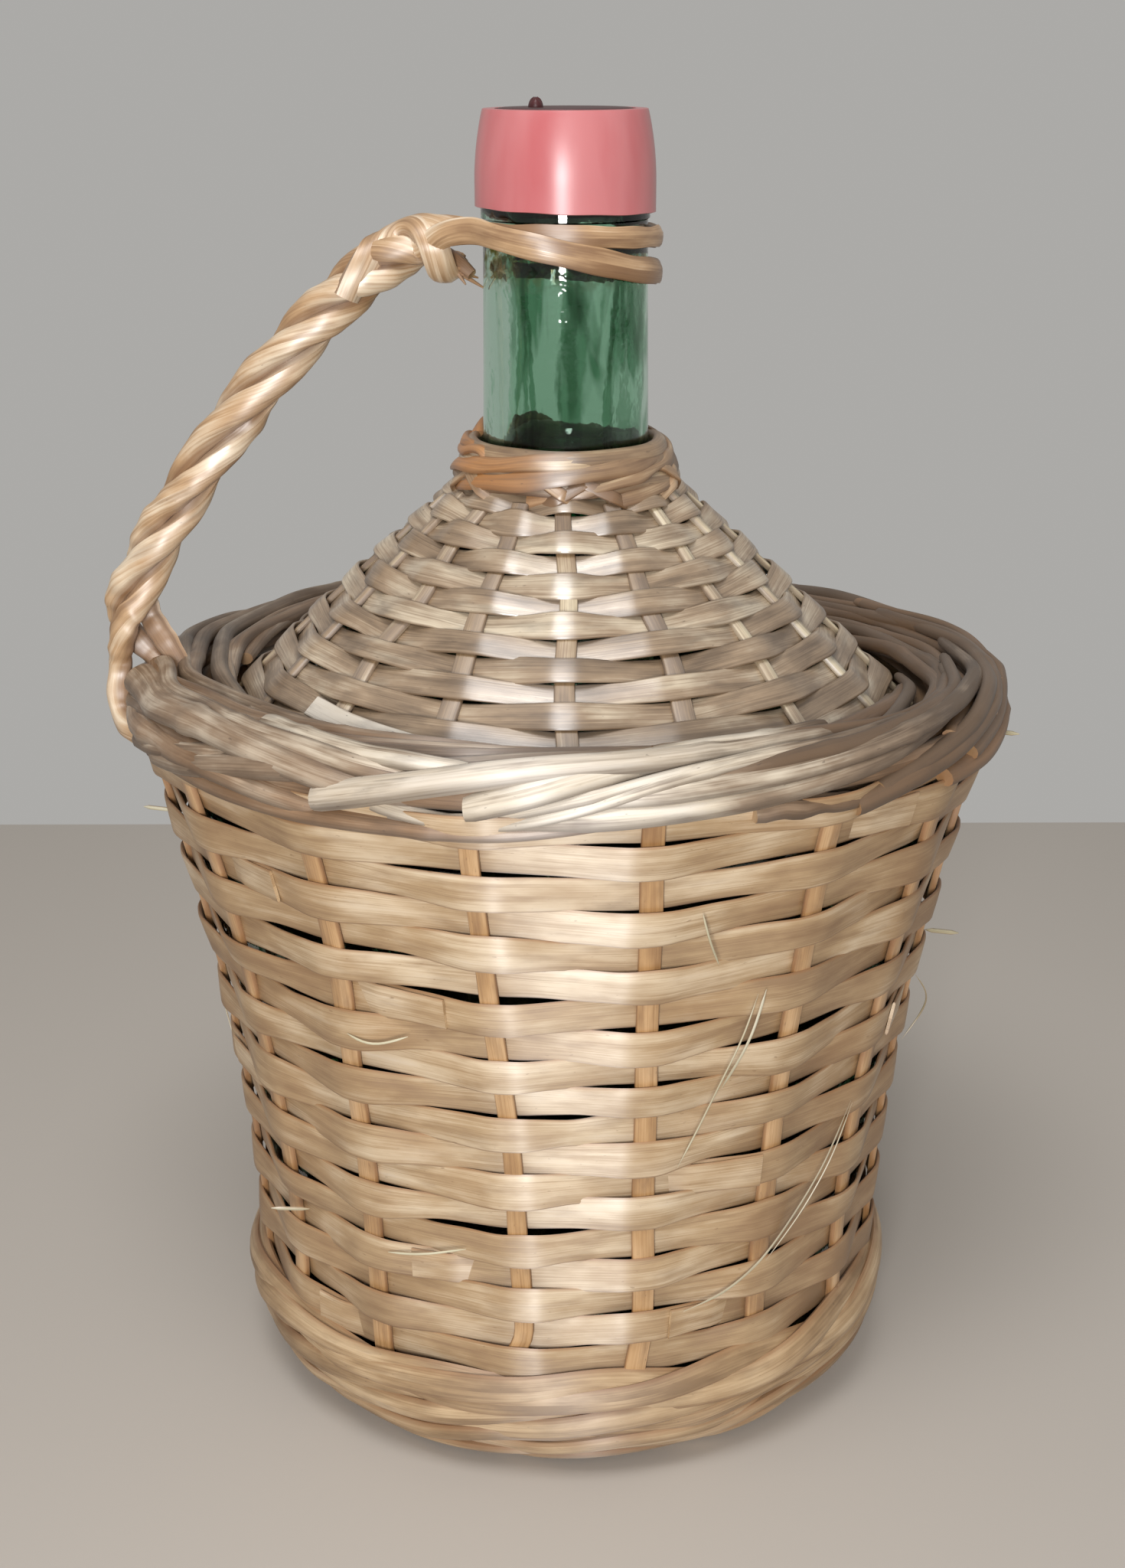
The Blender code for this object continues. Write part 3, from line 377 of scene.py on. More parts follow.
def woven_row(row, radius, height, lean, angles, outward, inward, reach, halves, rise, spacing):
    """One row's line, with corners outside and inside the stakes in turn, from behind a stake at the back.

    reach is how far from a stake's middle its two corners lie, halves are half the strip's width at the stakes
    and between them, and rise is how unevenly it lies. The last two columns hold half the width and the twist.
    """
    corners = []
    for stake in range(STAKES):
        off = outward if (stake + row) % 2 else -inward
        up = rise * chance.normal()
        half = halves[0] * (1 + 0.07 * chance.normal())
        twist = 0.06 * chance.normal()
        for angle in (angles[stake] - reach / radius, angles[stake] + reach / radius):
            place = around(angle, radius + off * cos(lean), height + up - off * sin(lean))
            corners.append(np.array([*place, half, twist]))
    line = []
    for spot in range(0, 2 * STAKES, 2):
        middle = (corners[spot + 1] + corners[(spot + 2) % (2 * STAKES)]) / 2
        middle[3] = halves[1] * (1 + 0.07 * chance.normal())
        line += [corners[spot], corners[spot + 1], middle]
    start = 3 * (8 - row % 2) + 1
    return eased(line[start:] + line[:start], spacing, 2, closed=True)


def faces_out(centres, lean):
    """The way a row's flat face looks: square to its run, and tipped with the wall."""
    run = runs(centres, True)
    level = unit(np.stack([run[:, 1], -run[:, 0], np.zeros(len(run))], axis=1))
    return level * cos(lean) - np.array([0, 0, sin(lean)])


side_willow = willow(
    "split_willow_side", "917353", "b1946f", "d3bd9e", "7d5c3b", edge="8e6038", bark="a0764a", stained=0.35,
    gloss=0.6, brushed=0.96,
)
# Lapped strip ends: the row, and the degrees where the new end is tucked in and the old one cut.
LAPS = (
    (6, 11, 32), (12, -34, -16), (3, -11, -28), (9, 79, 60), (15, -56, -40), (1, 34, 16), (7, -56, -74),
    (17, 34, 50), (0, -34, -50), (4, 101, 120), (11, 169, 150), (8, -124, -142), (14, 101, 84), (2, -124, -106),
)
chance = np.random.default_rng(5)
for row in range(SIDE_ROWS + 1):
    height = SIDE_ROW_START + row * SIDE_ROW_PITCH
    lean = wall_lean(height)
    line = woven_row(
        row, float(wall_radius(height)), height, lean, [stake_angle(stake, height) for stake in range(STAKES)],
        outward=0.0015, inward=0.0014, reach=STAKE_WIDTH / 2 + 0.0009,
        halves=(0.0049, 0.0042) if row < SIDE_ROWS else (0.0038, 0.0036), rise=0.0005, spacing=STRIP_SPACING,
    )
    centres = line[:, :3]
    angle = bearing(centres)
    sag = 0.0008 * np.sin(2 * angle + 0.8) + 0.0005 * np.sin(5 * angle + 0.25 * row)
    centres[:, 2] += sag * min(row, 18 - row, 5) / 5
    tall = line[:, 3] + 0.00012 * wander(len(line), 40)
    # Painted highlight makes the strips paler round the front; painted shade darkens the lowest rows and the right
    # side.
    tone = 0.02 * chance.normal() + 0.075 * np.exp(-((angle / 0.5) ** 2)) - 0.01
    tone += -0.05 * max(0, 1 - row / 8) - 0.05 * limited((np.sin(angle) - 0.35) / 0.4)
    # Bark colour grows towards the left and right sides: part bark, part painted shade.
    bark_and_shade = 0.35 * limited(np.abs(np.sin(angle)) + 0.4 * wander(len(line), 20) - 0.3)
    lengths = [swept(
        centres, faces_out(centres, lean), FLAT, 0.0005, tall, closed=True, grain=row * 3.1,
        twist=line[:, 4], tone=tone, warm=bark_and_shade,
    )]
    for tucked, cut in [lap[1:] for lap in LAPS if lap[0] == row]:
        start, end = (int(np.argmin(np.abs(np.degrees(angle) - degrees))) for degrees in (tucked, cut))
        span = np.arange(start, end, 1 if end > start else -1)
        lift = 0.0011 * np.clip(np.arange(len(span)) / 3 - 1.4, -1.2, 1)
        lapped = centres[span] + around(angle[span], 1, 0) * lift[:, None]
        hints = around(angle[span], 1, -tan(lean))
        lengths.append(swept(
            lapped, hints, FLAT, 0.0004, 0.93 * line[span, 3], grain=row * 3.1 + 1.7, tone=0.045, warm=0.1
        ))
    nodes = [f"side_weaver_{row + 1:02d}"] if row < SIDE_ROWS else []
    willow_piece(f"side_row_{row + 1:02d}", lengths, side_willow, nodes)

# Foot
# Four rounds of waling: thick willow rods laid three together and twisted as they go, so each round looks like
# a rope. They hold the stakes where these bend under, and the basket stands on the lowest round.

# Radius and height, and how many degrees below level the round's face looks.
FOOT_ROUNDS = ((0.0745, 0.004, 60), (0.0806, 0.0098, 37), (0.0838, 0.0175, 13), (0.085, 0.0258, -11))
FOOT_POINTS = 280
FOOT_LOWEST = 0.0026


def ring_angles(count):
    """Even angles once round the basket, from the back."""
    return np.linspace(0, TURN, count, endpoint=False) + pi


foot_willow = willow(
    "waled_willow_foot", "836644", "a98a64", "c8ac86", "664b30", stained=0.35, gloss=0.6, brushed=0.85,
    fibre_mm=0.5,
)
chance = np.random.default_rng(8)
angle = ring_angles(FOOT_POINTS)
for turn, (radius, height, below) in enumerate(FOOT_ROUNDS):
    below = radians(below)
    strands = []
    for strand in range(3):
        phase = 4 * angle + strand * TURN / 3 + turn * 1.9 + 0.4 * wander(FOOT_POINTS, 9)
        out = 0.0013 * np.cos(phase)
        up = 0.0028 * np.sin(phase) + 0.0004 * wander(FOOT_POINTS, 12)
        radii = radius + out * cos(below) + up * sin(below)
        heights = height - out * sin(below) + up * cos(below)
        size = 1 + 0.12 * wander(FOOT_POINTS, 9)
        centres = around(angle, radii, np.maximum(heights, FOOT_LOWEST))
        strands.append(swept(
            centres, around(angle, cos(below), -sin(below)), ROUND, 0.0016 * size, 0.0035 * size,
            closed=True, grain=turn * 5.3 + strand * 1.1, tone=0.03 * (strand - 1) + 0.02 * chance.normal(),
        ))
    willow_piece(f"foot_wale_{turn + 1}", strands, foot_willow, [f"foot_rod_{turn + 1}"])

# Base weave
# Two flat strips of the foot's willow, which chase each other under the bottle where the stakes spread like
# spokes. Each starts at the crossing of the stakes and goes twice round.

strips = []
for strip in range(2):
    corners = []
    for stake in range(strip * 8, strip * 8 + 33):
        middle = (stake + 0.5) * BAY
        radius = 0.0305 + 0.013 * (middle - strip * 8 * BAY) / TURN
        off = 0.002 if (stake + strip) % 2 else -0.002
        reach = (STAKE_WIDTH / 2 + 0.0006) / radius
        corners += [around(angle, radius, 0.004 - off) for angle in (middle - reach, middle + reach)]
    centres = eased(corners, STRIP_SPACING, 2)
    strips.append(swept(centres, np.array([0, 0, -1]), FLAT, 0.00055, 0.003, grain=70 + strip))
willow_piece("base_weave", strips, foot_willow, ["base_strip_1", "base_strip_2"])

# Rim
# A rolled border: the ends of the stakes and extra rods are bent down one after another. Each rod starts with a
# cut end under the brim's outer edge, climbs over it and runs inwards on the brim, over the ends before it.

RIM_RODS = 25
OUTER_ROD = 0.1021
SLOPE = radians(43)
BORDER_PATH = (  # share of a rod's length, mm out from the outermost rod, and mm of rise
    (0, 4.2, -8), (0.1, 4.9, -5.4), (0.24, 3.4, -1.2), (0.42, -2, 0.9), (0.64, -9, 0.9), (0.86, -16, 0.4),
    (1, -20, -2.4),
)
# The rods across the front get the highest paleness, a painted highlight.
FRONT_RODS = (  # mm of thickness, flatness, paleness, bark, and stops of degrees, mm out and mm of rise
    (3.7, 1.25, 0.015, 0.2, (-86, 3, -1), (-64, 2, 1.6), (-45, 2.6, 1.4), (-33, 4, -1.8), (-24, 3, -5),
     (-14, 0, -4)),
    (3.7, 1.25, -0.03, 0.4, (-92, 3.5, -6), (-70, 4.6, -5), (-53, 4.6, -5.2), (-40, 4.8, -7.2), (-31, 2, -9.6)),
    (2.6, 1.2, 0.03, 0.1, (-88, -2, 1), (-66, -2, 2.8), (-48, -2, 3.2), (-36, 0.6, 2.4), (-26, 2.4, 1),
     (-16, 0, -2)),
    (2.5, 1.25, -0.01, 0.5, (-66, 3.4, -8.5), (-48, 4.4, -10.2), (-34, 4.8, -11.2), (-22, 4.9, -11.6),
     (-10, 4.8, -11.8), (2, 4.2, -10), (12, 3.4, -7)),
    (3.4, 1.15, 0.17, 0.1, (-30.5, 4.8, -7), (-23.5, 5, -3.8), (-14, 4.4, -0.2), (-3.5, 2.8, 2.6), (7, 0.5, 3),
     (22, -3.5, 2.4), (38, -8.5, 1.4)),
    (2.9, 1.3, 0.19, 0, (-11.5, 5.2, -6), (-4, 5.6, -1.8), (2, 4.4, 1.6), (10, -1.5, 3), (24, -6.5, 2.4),
     (40, -12, 1.2)),
    (1.8, 1.2, 0.15, 0, (-23, 4, -6.5), (-14, 4.8, -10.2), (-6, 5, -10), (1, 5.6, -5.4), (7, 5.6, -1.6),
     (15, 5, 1.6), (26, 2.2, 3.2), (40, 0, 3.4), (55, -4, 2.6)),
    (1.5, 1.1, 0.18, 0, (-21, 4, -8.5), (-12, 4.8, -8.6), (-5, 5.2, -7.4), (2, 5.6, -3), (9, 5.2, 0.8),
     (18, 3.6, 2.6), (30, 0, 3.2)),
    (3, 1.1, 0.14, 0, (-8, 3, -8.6), (2, 4.6, -7.6), (10, 5.4, -6.8), (20, 5.6, -5.6), (30, 5.2, -3.6),
     (42, 4, -1.2), (55, 0.5, 1.8), (70, -4, 2), (84, -9, 1)),
    (2.4, 1.2, 0.11, 0, (1, 3, -4), (10, 5, -3), (18, 5.4, -1.4), (28, 5.2, 0), (40, 4.2, 1.8), (50, 3.2, 3),
     (62, 1.6, 3.4), (78, -1, 3.2), (98, -6, 2.2)),
    (2.1, 1.1, -0.03, 0.1, (10, 3.6, -1), (22, 4.4, 1.4), (36, 3.2, 3.2), (52, 0.4, 3.8), (68, -3, 3.4),
     (88, -9, 2.2)),
    (2.6, 1.05, -0.04, 0.2, (36, 4.8, -11), (45.5, 5.2, -7.8), (57, 5.2, -4.4), (69, 4.6, -0.8),
     (82, 2.4, 2.2), (98, -2, 3), (118, -8, 2)),
    (2.2, 1.05, -0.06, 0.1, (40, 4.6, -8.4), (50, 5.2, -4.6), (62, 4.8, -0.6), (74, 3, 2.6), (90, -1, 3.6),
     (112, -7, 2.6)),
    (2.6, 1.2, 0.08, 0.2, (22, 4.6, -8.4), (29, 5.3, -8.2), (36, 4.9, -9.6)),
    (2.6, 1.15, 0.01, 0.6, (54, 4, -11.4), (64, 5.2, -10.4), (76, 5.4, -7), (90, 4.6, -2), (106, 2, 1.6),
     (126, -4, 1.8)),
    (2.3, 1.1, -0.04, 0.3, (60, 4.4, -7.6), (72, 5.2, -4), (86, 4.2, 0.4), (102, 1, 3), (124, -6, 2.4)),
    (2.3, 1.1, -0.04, 0.2, (12, -11, 0.8), (31, -11, 1.6), (46, -3, 2.2), (60, -3.6, 2.6), (80, -8, 1.6)),
    (2.6, 1.2, 0.08, 0, (-46, -8, 2.2), (-33, -2.5, 3.2), (-22, 1, 2.2), (-12, 0, 0.8)),
)


def on_brim(angle, out, rise):
    """Places some mm out from and above the brim's outermost rod, which moves out where the brim sags."""
    radius = OUTER_ROD + 0.95 * (BRIM_HEIGHT - brim_height(angle)) / tan(SLOPE)
    return around(angle, radius + out / 1000, brim_height(angle) + rise / 1000)


def route(places, steps, spacing, passes):
    """A smooth line through chosen places."""
    fine = np.linspace(0, len(places) - 1, steps)
    cut = np.stack([np.interp(fine, np.arange(len(places)), column) for column in places.T], axis=1)
    return eased(cut, spacing, passes)


def border_rod(stops, thick, flat, tone, warm, grain):
    """One rod of the border through its stops, tapered, with slow bends, a bud and painted shade that darkens it
    towards the right.
    """
    degrees, out, rise = np.array(stops).T
    line = route(on_brim(np.radians(degrees), out, rise), 12 * len(stops), 0.002, 24)
    count = len(line)
    angle = bearing(line)
    line += around(angle, 1, 0) * (0.0003 * wander(count, 3))[:, None]
    line[:, 2] += 0.0003 * wander(count, 3)
    share = np.linspace(0, 1, count)
    size = thick * (1 - 0.25 * share) * (1 + 0.02 * wander(count, 5))
    bud = np.exp(-(((share - chance.uniform(0.2, 0.8)) * count / 1.3) ** 2))
    worn = limited(0.9 + 0.1 * np.minimum(np.arange(count), np.arange(count)[::-1]))
    size *= (1 + 0.15 * bud) * worn
    # Painted shade: rods darken towards the right side.
    shade_right = 0.23 * limited((np.sin(angle) - 0.26) / 0.34)
    return swept(
        line, around(angle, 0.55, 0.85), ROUND, size / flat, size * flat, grain=grain, tone=tone - shade_right,
        twist=np.linspace(0, 0.3 * chance.normal(), count), warm=warm,
    )


rim_willow = willow(
    "weathered_willow_rim", "5b4733", "8d7862", "cdbfaa", "3f2f22", edge="4d3a28", bark="946a42",
    stained=0.4, gloss=0.54, brushed=0.85, fibre_mm=0.5,
)
chance = np.random.default_rng(12)
borders = [[] for _ in range(5)]
for rod in range(RIM_RODS):
    begin = rod * 360 / RIM_RODS + 40 + 3 * chance.normal()
    span = 112 + 10 * chance.normal()
    front = abs((begin + 200) % 360 - 180) < 62
    hidden = 2 if -62 < (begin + 180) % 360 - 180 < 128 else 0
    stops = [
        (begin + share * span, out + 0.5 * chance.normal(), rise + (-1.2 if front else 0.3 * chance.normal()))
        for share, out, rise in BORDER_PATH[hidden:]
    ]
    thick = 0.0026 + 0.0003 * chance.normal()
    tone = 0.06 * chance.normal() - 0.03
    borders[rod % 4].append(border_rod(stops, thick, 1.1, tone, 0.4 * chance.random(), 90 + rod * 1.3))
for rod, (thick, flat, tone, warm, *stops) in enumerate(FRONT_RODS):
    borders[4].append(border_rod(stops, thick / 1000, flat, tone, warm, 120 + rod * 1.1))
angle = ring_angles(300)
for ring, (out, rise) in enumerate(((2.4, -4.6), (-2.6, -3.4), (-7, -4.4), (-11, -6.4))):
    centres = on_brim(angle, out + 0.4 * wander(300, 9), rise + 0.4 * wander(300, 8))
    borders[ring].append(swept(
        centres, around(angle, 1, 0.3), ROUND, 0.0024, 0.0027, closed=True, grain=80 + ring, tone=-0.06, warm=0.4
    ))
tucked = on_brim(angle, -8.5, -8)
borders[0].append(swept(
    tucked, around(angle, 0.25, 1), FLAT, 0.0006, 0.0085, closed=True, grain=88, tone=-0.08, warm=0.2
))
for rod, lengths in enumerate(borders, start=1):
    willow_piece(f"rim_border_{rod}", lengths, rim_willow, [f"rim_rod_{rod}"])

# Shoulder
# The basket closes over the bottle's shoulder in finer work: sixteen thin stakes stand on the slope and narrow
# strips are woven round them. Weather has turned them grey brown, and the skin side still shines silvery.

SLOPE_LEAN = SLOPE - pi / 2
SLOPE_ROWS = 13
SLOPE_POINTS = 60
SLOPE_SPACING = 0.0013


def shoulder_height(radius):
    """The middle of the shoulder's stakes, which swell slightly over the glass."""
    swell = 0.001 * np.sin(limited((0.09 - radius) / 0.06) * pi)
    return 0.1748 + (0.09 - radius) * tan(SLOPE) + swell


grey_willow = willow(
    "weathered_willow_shoulder", "695540", "9a8268", "ccbca3", "4a3a2b", edge="6a5138", stained=0.45,
    gloss=0.36, brushed=0.8,
)
slope_stake_willow = willow(
    "weathered_willow_stakes", "6e5740", "977c5c", "d0bf9e", "5c4833", edge="6a5138", stained=0.3
)
chance = np.random.default_rng(21)
lengths = []
radius = np.linspace(0.0985, 0.0275, SLOPE_POINTS)
for stake in range(STAKES):
    angle = stake * BAY + 0.0006 * wander(SLOPE_POINTS, 3) / radius
    from_front = min(stake, STAKES - stake)
    slight = 1 if from_front < 2 or stake > 13 else 0.75
    uneven = 0.00012 * wander(SLOPE_POINTS, 4)
    tall = slight * (0.0021 + 0.0006 * (radius - 0.0275) / 0.071 + uneven)
    # The stake at the front and its two neighbours are darkened with painted shade; stakes 2 to 4 are paler.
    pale = 0.14 if 2 <= stake <= 4 else -0.07 if from_front < 2 else 0
    lengths.append(swept(
        around(angle, radius, shoulder_height(radius)), around(angle, sin(SLOPE), cos(SLOPE)),
        FLAT, 0.0007, tall, grain=130 + stake, tone=pale + 0.03 * chance.normal(),
    ))
willow_piece("shoulder_stakes_split", lengths, slope_stake_willow, ["shoulder_frame"])
degrees, radius, lift = np.array((
    (-51, 0.077, 0.0026), (-42, 0.0782, 0.0029), (-33, 0.0792, 0.0031), (-26, 0.0797, 0.0028),
    (-20, 0.0799, 0.0004),
)).T
torn = eased(around(np.radians(degrees), radius, shoulder_height(radius) + lift), SLOPE_SPACING, 8)
torn_strip = swept(torn, torn * (1, 1, 0) + (0, 0, 0.085), FLAT, 0.0004, 0.0028, grain=150, tone=0.34)
for row in range(SLOPE_ROWS + 1):
    radius = 0.084 - row * 0.00435
    line = woven_row(
        row, radius, float(shoulder_height(radius)), SLOPE_LEAN, [stake * BAY for stake in range(STAKES)],
        outward=0.0014, inward=0.0011, reach=0.003 - 0.00005 * row, halves=(0.0034, 0.003), rise=0.0002,
        spacing=SLOPE_SPACING,
    )
    centres = line[:, :3]
    tall = line[:, 3] + 0.0001 * wander(len(line), 30)
    piece = swept(
        centres, faces_out(centres, SLOPE_LEAN), FLAT, 0.00045, tall, closed=True,
        grain=160 + row * 2.3, twist=1.6 * line[:, 4], tone=0.02 * chance.normal(),
    )
    lengths = [piece, torn_strip] if row == 1 else [piece]
    nodes = [f"shoulder_weaver_{row + 1:02d}"] if row < SLOPE_ROWS else []
    willow_piece(f"shoulder_row_{row + 1:02d}", lengths, grey_willow, nodes)

# Collar
# The shoulder stakes' ends are folded down and wound round the foot of the neck in rounded bands, one lapped
# over the next. This part kept its bark longest, so it is orange brown.

COLLAR_BANDS = 7
COLLAR_FOLDS = 14
BAND_SHARES = (0, 0.12, 0.4, 0.7, 0.9, 1)
BAND_RADII = (0.0262, 0.0272, 0.0268, 0.0256, 0.0246, 0.0236)
BAND_HEIGHTS = (0.2352, 0.237, 0.2402, 0.244, 0.2452, 0.2426)
FOLD_SHARES = (0, 0.3, 0.7, 1)
FOLD_RADII = (0.0245, 0.0268, 0.0286, 0.0268)
FOLD_HEIGHTS = (0.2408, 0.2392, 0.2358, 0.2326)

collar_willow = willow(
    "folded_willow_collar", "685039", "95795a", "c9b493", "46301d", edge="6b4728", bark="b0753c", stained=0.4,
    gloss=0.46, fibre_mm=0.5,
)
chance = np.random.default_rng(33)
lengths = []
angle = ring_angles(160)
for radius, height in ((0.0262, 0.2372), (0.025, 0.2408), (0.0238, 0.2436)):
    centres = around(angle, radius + 0.0003 * wander(160, 7), height + 0.0004 * wander(160, 6))
    lengths.append(swept(
        centres, around(angle, 0.8, 0.6), ROUND, 0.0015, 0.0024, closed=True, grain=height * 900, tone=-0.04
    ))
share = np.linspace(0, 1, 90)
for band in range(COLLAR_BANDS):
    begin = radians(-128 + band * 360 / COLLAR_BANDS + 6 * chance.normal())
    angle = begin + share * radians(150 + 12 * chance.normal())
    radius = np.interp(share, BAND_SHARES, BAND_RADII)
    height = np.interp(share, BAND_SHARES, BAND_HEIGHTS) - 0.0006
    height += 0.0014 * limited(-np.sin(angle)) ** 2 - 0.0008 * limited(np.sin(angle + 0.6)) ** 2
    tip = np.interp(share, (0, 0.4, 0.7, 1), (0.8, 0.62, 0.55, 1.2)) + 0.25 * wander(90, 4)
    height += 0.0006 * chance.normal() + 0.0006 * wander(90, 3)
    tall = chance.uniform(0.0016, 0.0028) + 0.0004 * wander(90, 5)
    lengths.append(swept(
        smooth(around(angle, radius, height), 10), around(angle, np.cos(tip), np.sin(tip)), ROUND, 0.001,
        tall, grain=200 + band, tone=0.07 * chance.normal() - 0.02,
        warm=0.1 + 0.9 * limited(-np.sin(angle + 0.1)) ** 0.6,
    ))
share = np.linspace(0, 1, 24)
for fold in range(COLLAR_FOLDS):
    begin = fold * TURN / COLLAR_FOLDS + 0.12 * chance.normal()
    angle = begin + share * chance.choice((-1, 1, 1)) * (0.35 + 0.3 * chance.random())
    radius = np.interp(share, FOLD_SHARES, FOLD_RADII)
    height = np.interp(share, FOLD_SHARES, FOLD_HEIGHTS) + 0.0006 * chance.normal()
    lengths.append(swept(
        around(angle, radius, height), around(angle, 0.8, 0.6), FLAT, 0.0005, 0.0016, grain=210 + fold,
        tone=0.08 * chance.normal() - 0.01, warm=0.5 * chance.random(),
    ))
willow_piece("collar_folds", lengths, collar_willow, ["collar_strand"])

# Glass bottle
# Mould-blown green bottle glass, thick and a little uneven inside, so light runs through it in dark streaks, which
# are painted into its colour as painted shade.
# The neck is open from its lip down, and old grime is caked on it under the ties.


def arc(radius, height, size, start, end, steps=10):
    """Radii and heights on an arc, from start to end in degrees."""
    turn = np.radians(np.linspace(start, end, steps))
    return list(zip(radius + size * np.cos(turn), height + size * np.sin(turn)))


def glass_profile(inset):
    """From the middle of the base to the foot of the neck, moved in by inset."""
    profile = [(0.0002, 0.0111 + inset), (0.04, 0.0091 + inset)]
    profile += arc(0.0577, 0.0291, 0.022 - inset, -90, 0)
    for height in np.linspace(0.039, 0.139, 10):
        lean = wall_lean(height)
        off = 0.0029 + inset
        profile.append((float(wall_radius(height)) - off * cos(lean), height + off * sin(lean)))
    profile += arc(0.07185, 0.15398, 0.025 - inset, -13.3, 47)
    profile += arc(0.0324, 0.2414, 0.012 + inset, 227, 180)
    return profile


def turned(name, profile, steps, material, body, node, ring=False):
    """A round piece from the radii and heights of its outline, standing for a CAD node."""
    count = len(profile)
    angle = np.linspace(0, TURN, steps, endpoint=False)
    points = around(angle[:, None], *np.array(profile).T).reshape(-1, 3)
    step, spot = (spots.ravel() for spots in np.mgrid[:steps, :count if ring else count - 1])
    here, there = step * count, (step + 1) % steps * count
    after = (spot + 1) % count
    faces = np.stack([here + spot, there + spot, there + after, here + after], axis=1).tolist()
    if not ring:
        faces += [[step * count + spot for step in range(steps)] for spot in (0, count - 1)]
    mesh = bpy.data.meshes.new(name)
    mesh.from_pydata(points.tolist(), [], faces)
    mesh.materials.append(material)
    return finished(name, mesh, 40, body, [node])


green_glass, tree, shader = new_material(
    "green_bottle_glass", {"Roughness": 0.03, "IOR": 1.5, "Transmission Weight": 1}
)
place = add_node(tree, "TexCoord", {}).outputs["Object"]
# Random streaks, darker and paler, are painted into the glass colour: painted shade and light for light running
# through uneven glass.
painted_streaks = pattern(tree, place, (14.3, 14.3, 71.4), 3, distortion=0.6)
glass = add_node(tree, "ValToRGB", {"Fac": painted_streaks}, ((0.45, linear("49855f")), (0.5, linear("c8ead6"))))
height = add_node(tree, "SeparateXYZ", {"Vector": place}).outputs["Z"]
black, white = linear("000000"), linear("ffffff")
stops = ((0.2815, black), (0.287, white), (0.293, white), (0.296, black))
under_ties = add_node(tree, "ValToRGB", {"Fac": height}, stops)
specks = pattern(tree, place, (2.38, 2.38, 2.38), 4)
caked = add_node(tree, "MapRange", {"Value": specks, "From Min": 0.46, "From Max": 0.56})
grime = add_node(tree, "Math", {0: under_ties, 1: caked}, operation="MULTIPLY")
dirty = add_node(tree, "Mix", {"Factor": grime, "A": glass, "B": linear("6f6c34")}, data_type="RGBA")
dents = pattern(tree, place, (6.67, 6.67, 7.69), 3)
bump = add_node(tree, "Bump", {"Height": dents, "Strength": 0.13, "Distance": 0.001})
feed(shader, {"Base Color": dirty, "Normal": bump})

neck = np.array((  # radius and height in mm: up the outside, over the lip, and down the narrow part of the bore
    (20.4, 250), (20.2, 265), (20, 285), (19.9, 297.6), (20.4, 298), (20.35, 307), (19.8, 314), (18.8, 319),
    (17.7, 320.6), (16.5, 320.9), (15.5, 320.9), (14.6, 320), (14.5, 317), (14.5, 297.6), (16.5, 294.2),
)) / 1000
bore = [(0.0166 + 0.0003 * (0.285 - height) / 0.035, height) for height in np.linspace(0.285, 0.25, 15)]
outline = [*glass_profile(0), *neck, *bore, *glass_profile(0.003)[::-1]]
bottle = turned("bottle_glass", outline, 128, green_glass, "bottle", "glass_bottle")
for vertex in bottle.data.vertices:
    x, y, z = vertex.co
    radius = hypot(x, y)
    if 0.225 < z < 0.296 and 0.01 < radius < 0.0192:
        angle = atan2(y, x)
        uneven = 0.0005 * sin(3 * angle + 25 * z) + 0.0002 * sin(6 * angle - 45 * z + 1)
        vertex.co.x += uneven * x / radius
        vertex.co.y += uneven * y / radius

# Cap
# A pink-red sleeve of shrunk plastic over the lip, glossy, widest near its lower edge.

CAP_LOWEST = 0.2995
CAP_INNER_TOP = 0.3212


def cap_radius(height):
    return 0.02175 - 0.002 * (np.clip(height - 0.306, 0, None) / 0.017) ** 2


cap_plastic, tree, shader = new_material("pink_shrunk_plastic", {
    "Coat Weight": 0.22, "Coat Roughness": 0.3, "Subsurface Weight": 0.08,
    "Subsurface Radius": (0.004, 0.0015, 0.001),
})
place = add_node(tree, "TexCoord", {}).outputs["Object"]
cloud = pattern(tree, place, (11.1, 11.1, 45.5), 3)
colour = add_node(tree, "ValToRGB", {"Fac": cloud}, ((0.35, linear("bd6467")), (0.65, linear("c6787a"))))
rough = add_node(tree, "MapRange", {"Value": cloud, "To Min": 0.22, "To Max": 0.42})
bump = add_node(tree, "Bump", {"Height": cloud, "Strength": 0.25, "Distance": 0.0004})
feed(shader, {"Base Color": colour, "Roughness": rough, "Normal": bump})

heights = np.linspace(0.2997, 0.3224, 24)
inner = heights[heights < CAP_INNER_TOP][::-1]
outline = [
    (0.0211, CAP_LOWEST), *zip(cap_radius(heights), heights), (0.0197, 0.3229), (0.0195, 0.323),
    (0.0168, 0.323), (0.0168, CAP_INNER_TOP), *zip(cap_radius(inner) - 0.001, inner),
]
cap = turned("cap_sleeve_plastic", outline, 128, cap_plastic, "cap", "cap_sleeve", ring=True)
for vertex in cap.data.vertices:
    x, y, z = vertex.co
    low = max(0, 1 - (z - CAP_LOWEST) / 0.012)
    vertex.co.z += low * (0.0004 - 0.0007 * x / 0.0217 + 0.00008 * sin(9 * atan2(y, x)))

# Stopper
# A dark maroon plug whose thin head lies on the lip, with the small nub that its moulding left.

stopper_plastic, tree, shader = new_material("maroon_moulded_plastic", {"Roughness": 0.45})
place = add_node(tree, "TexCoord", {}).outputs["Object"]
mottle = pattern(tree, place, (2.5, 2.5, 2.5), 4)
colour = add_node(tree, "ValToRGB", {"Fac": mottle}, ((0, linear("2a1214")), (1, linear("5a2528"))))
feed(shader, {"Base Color": colour})

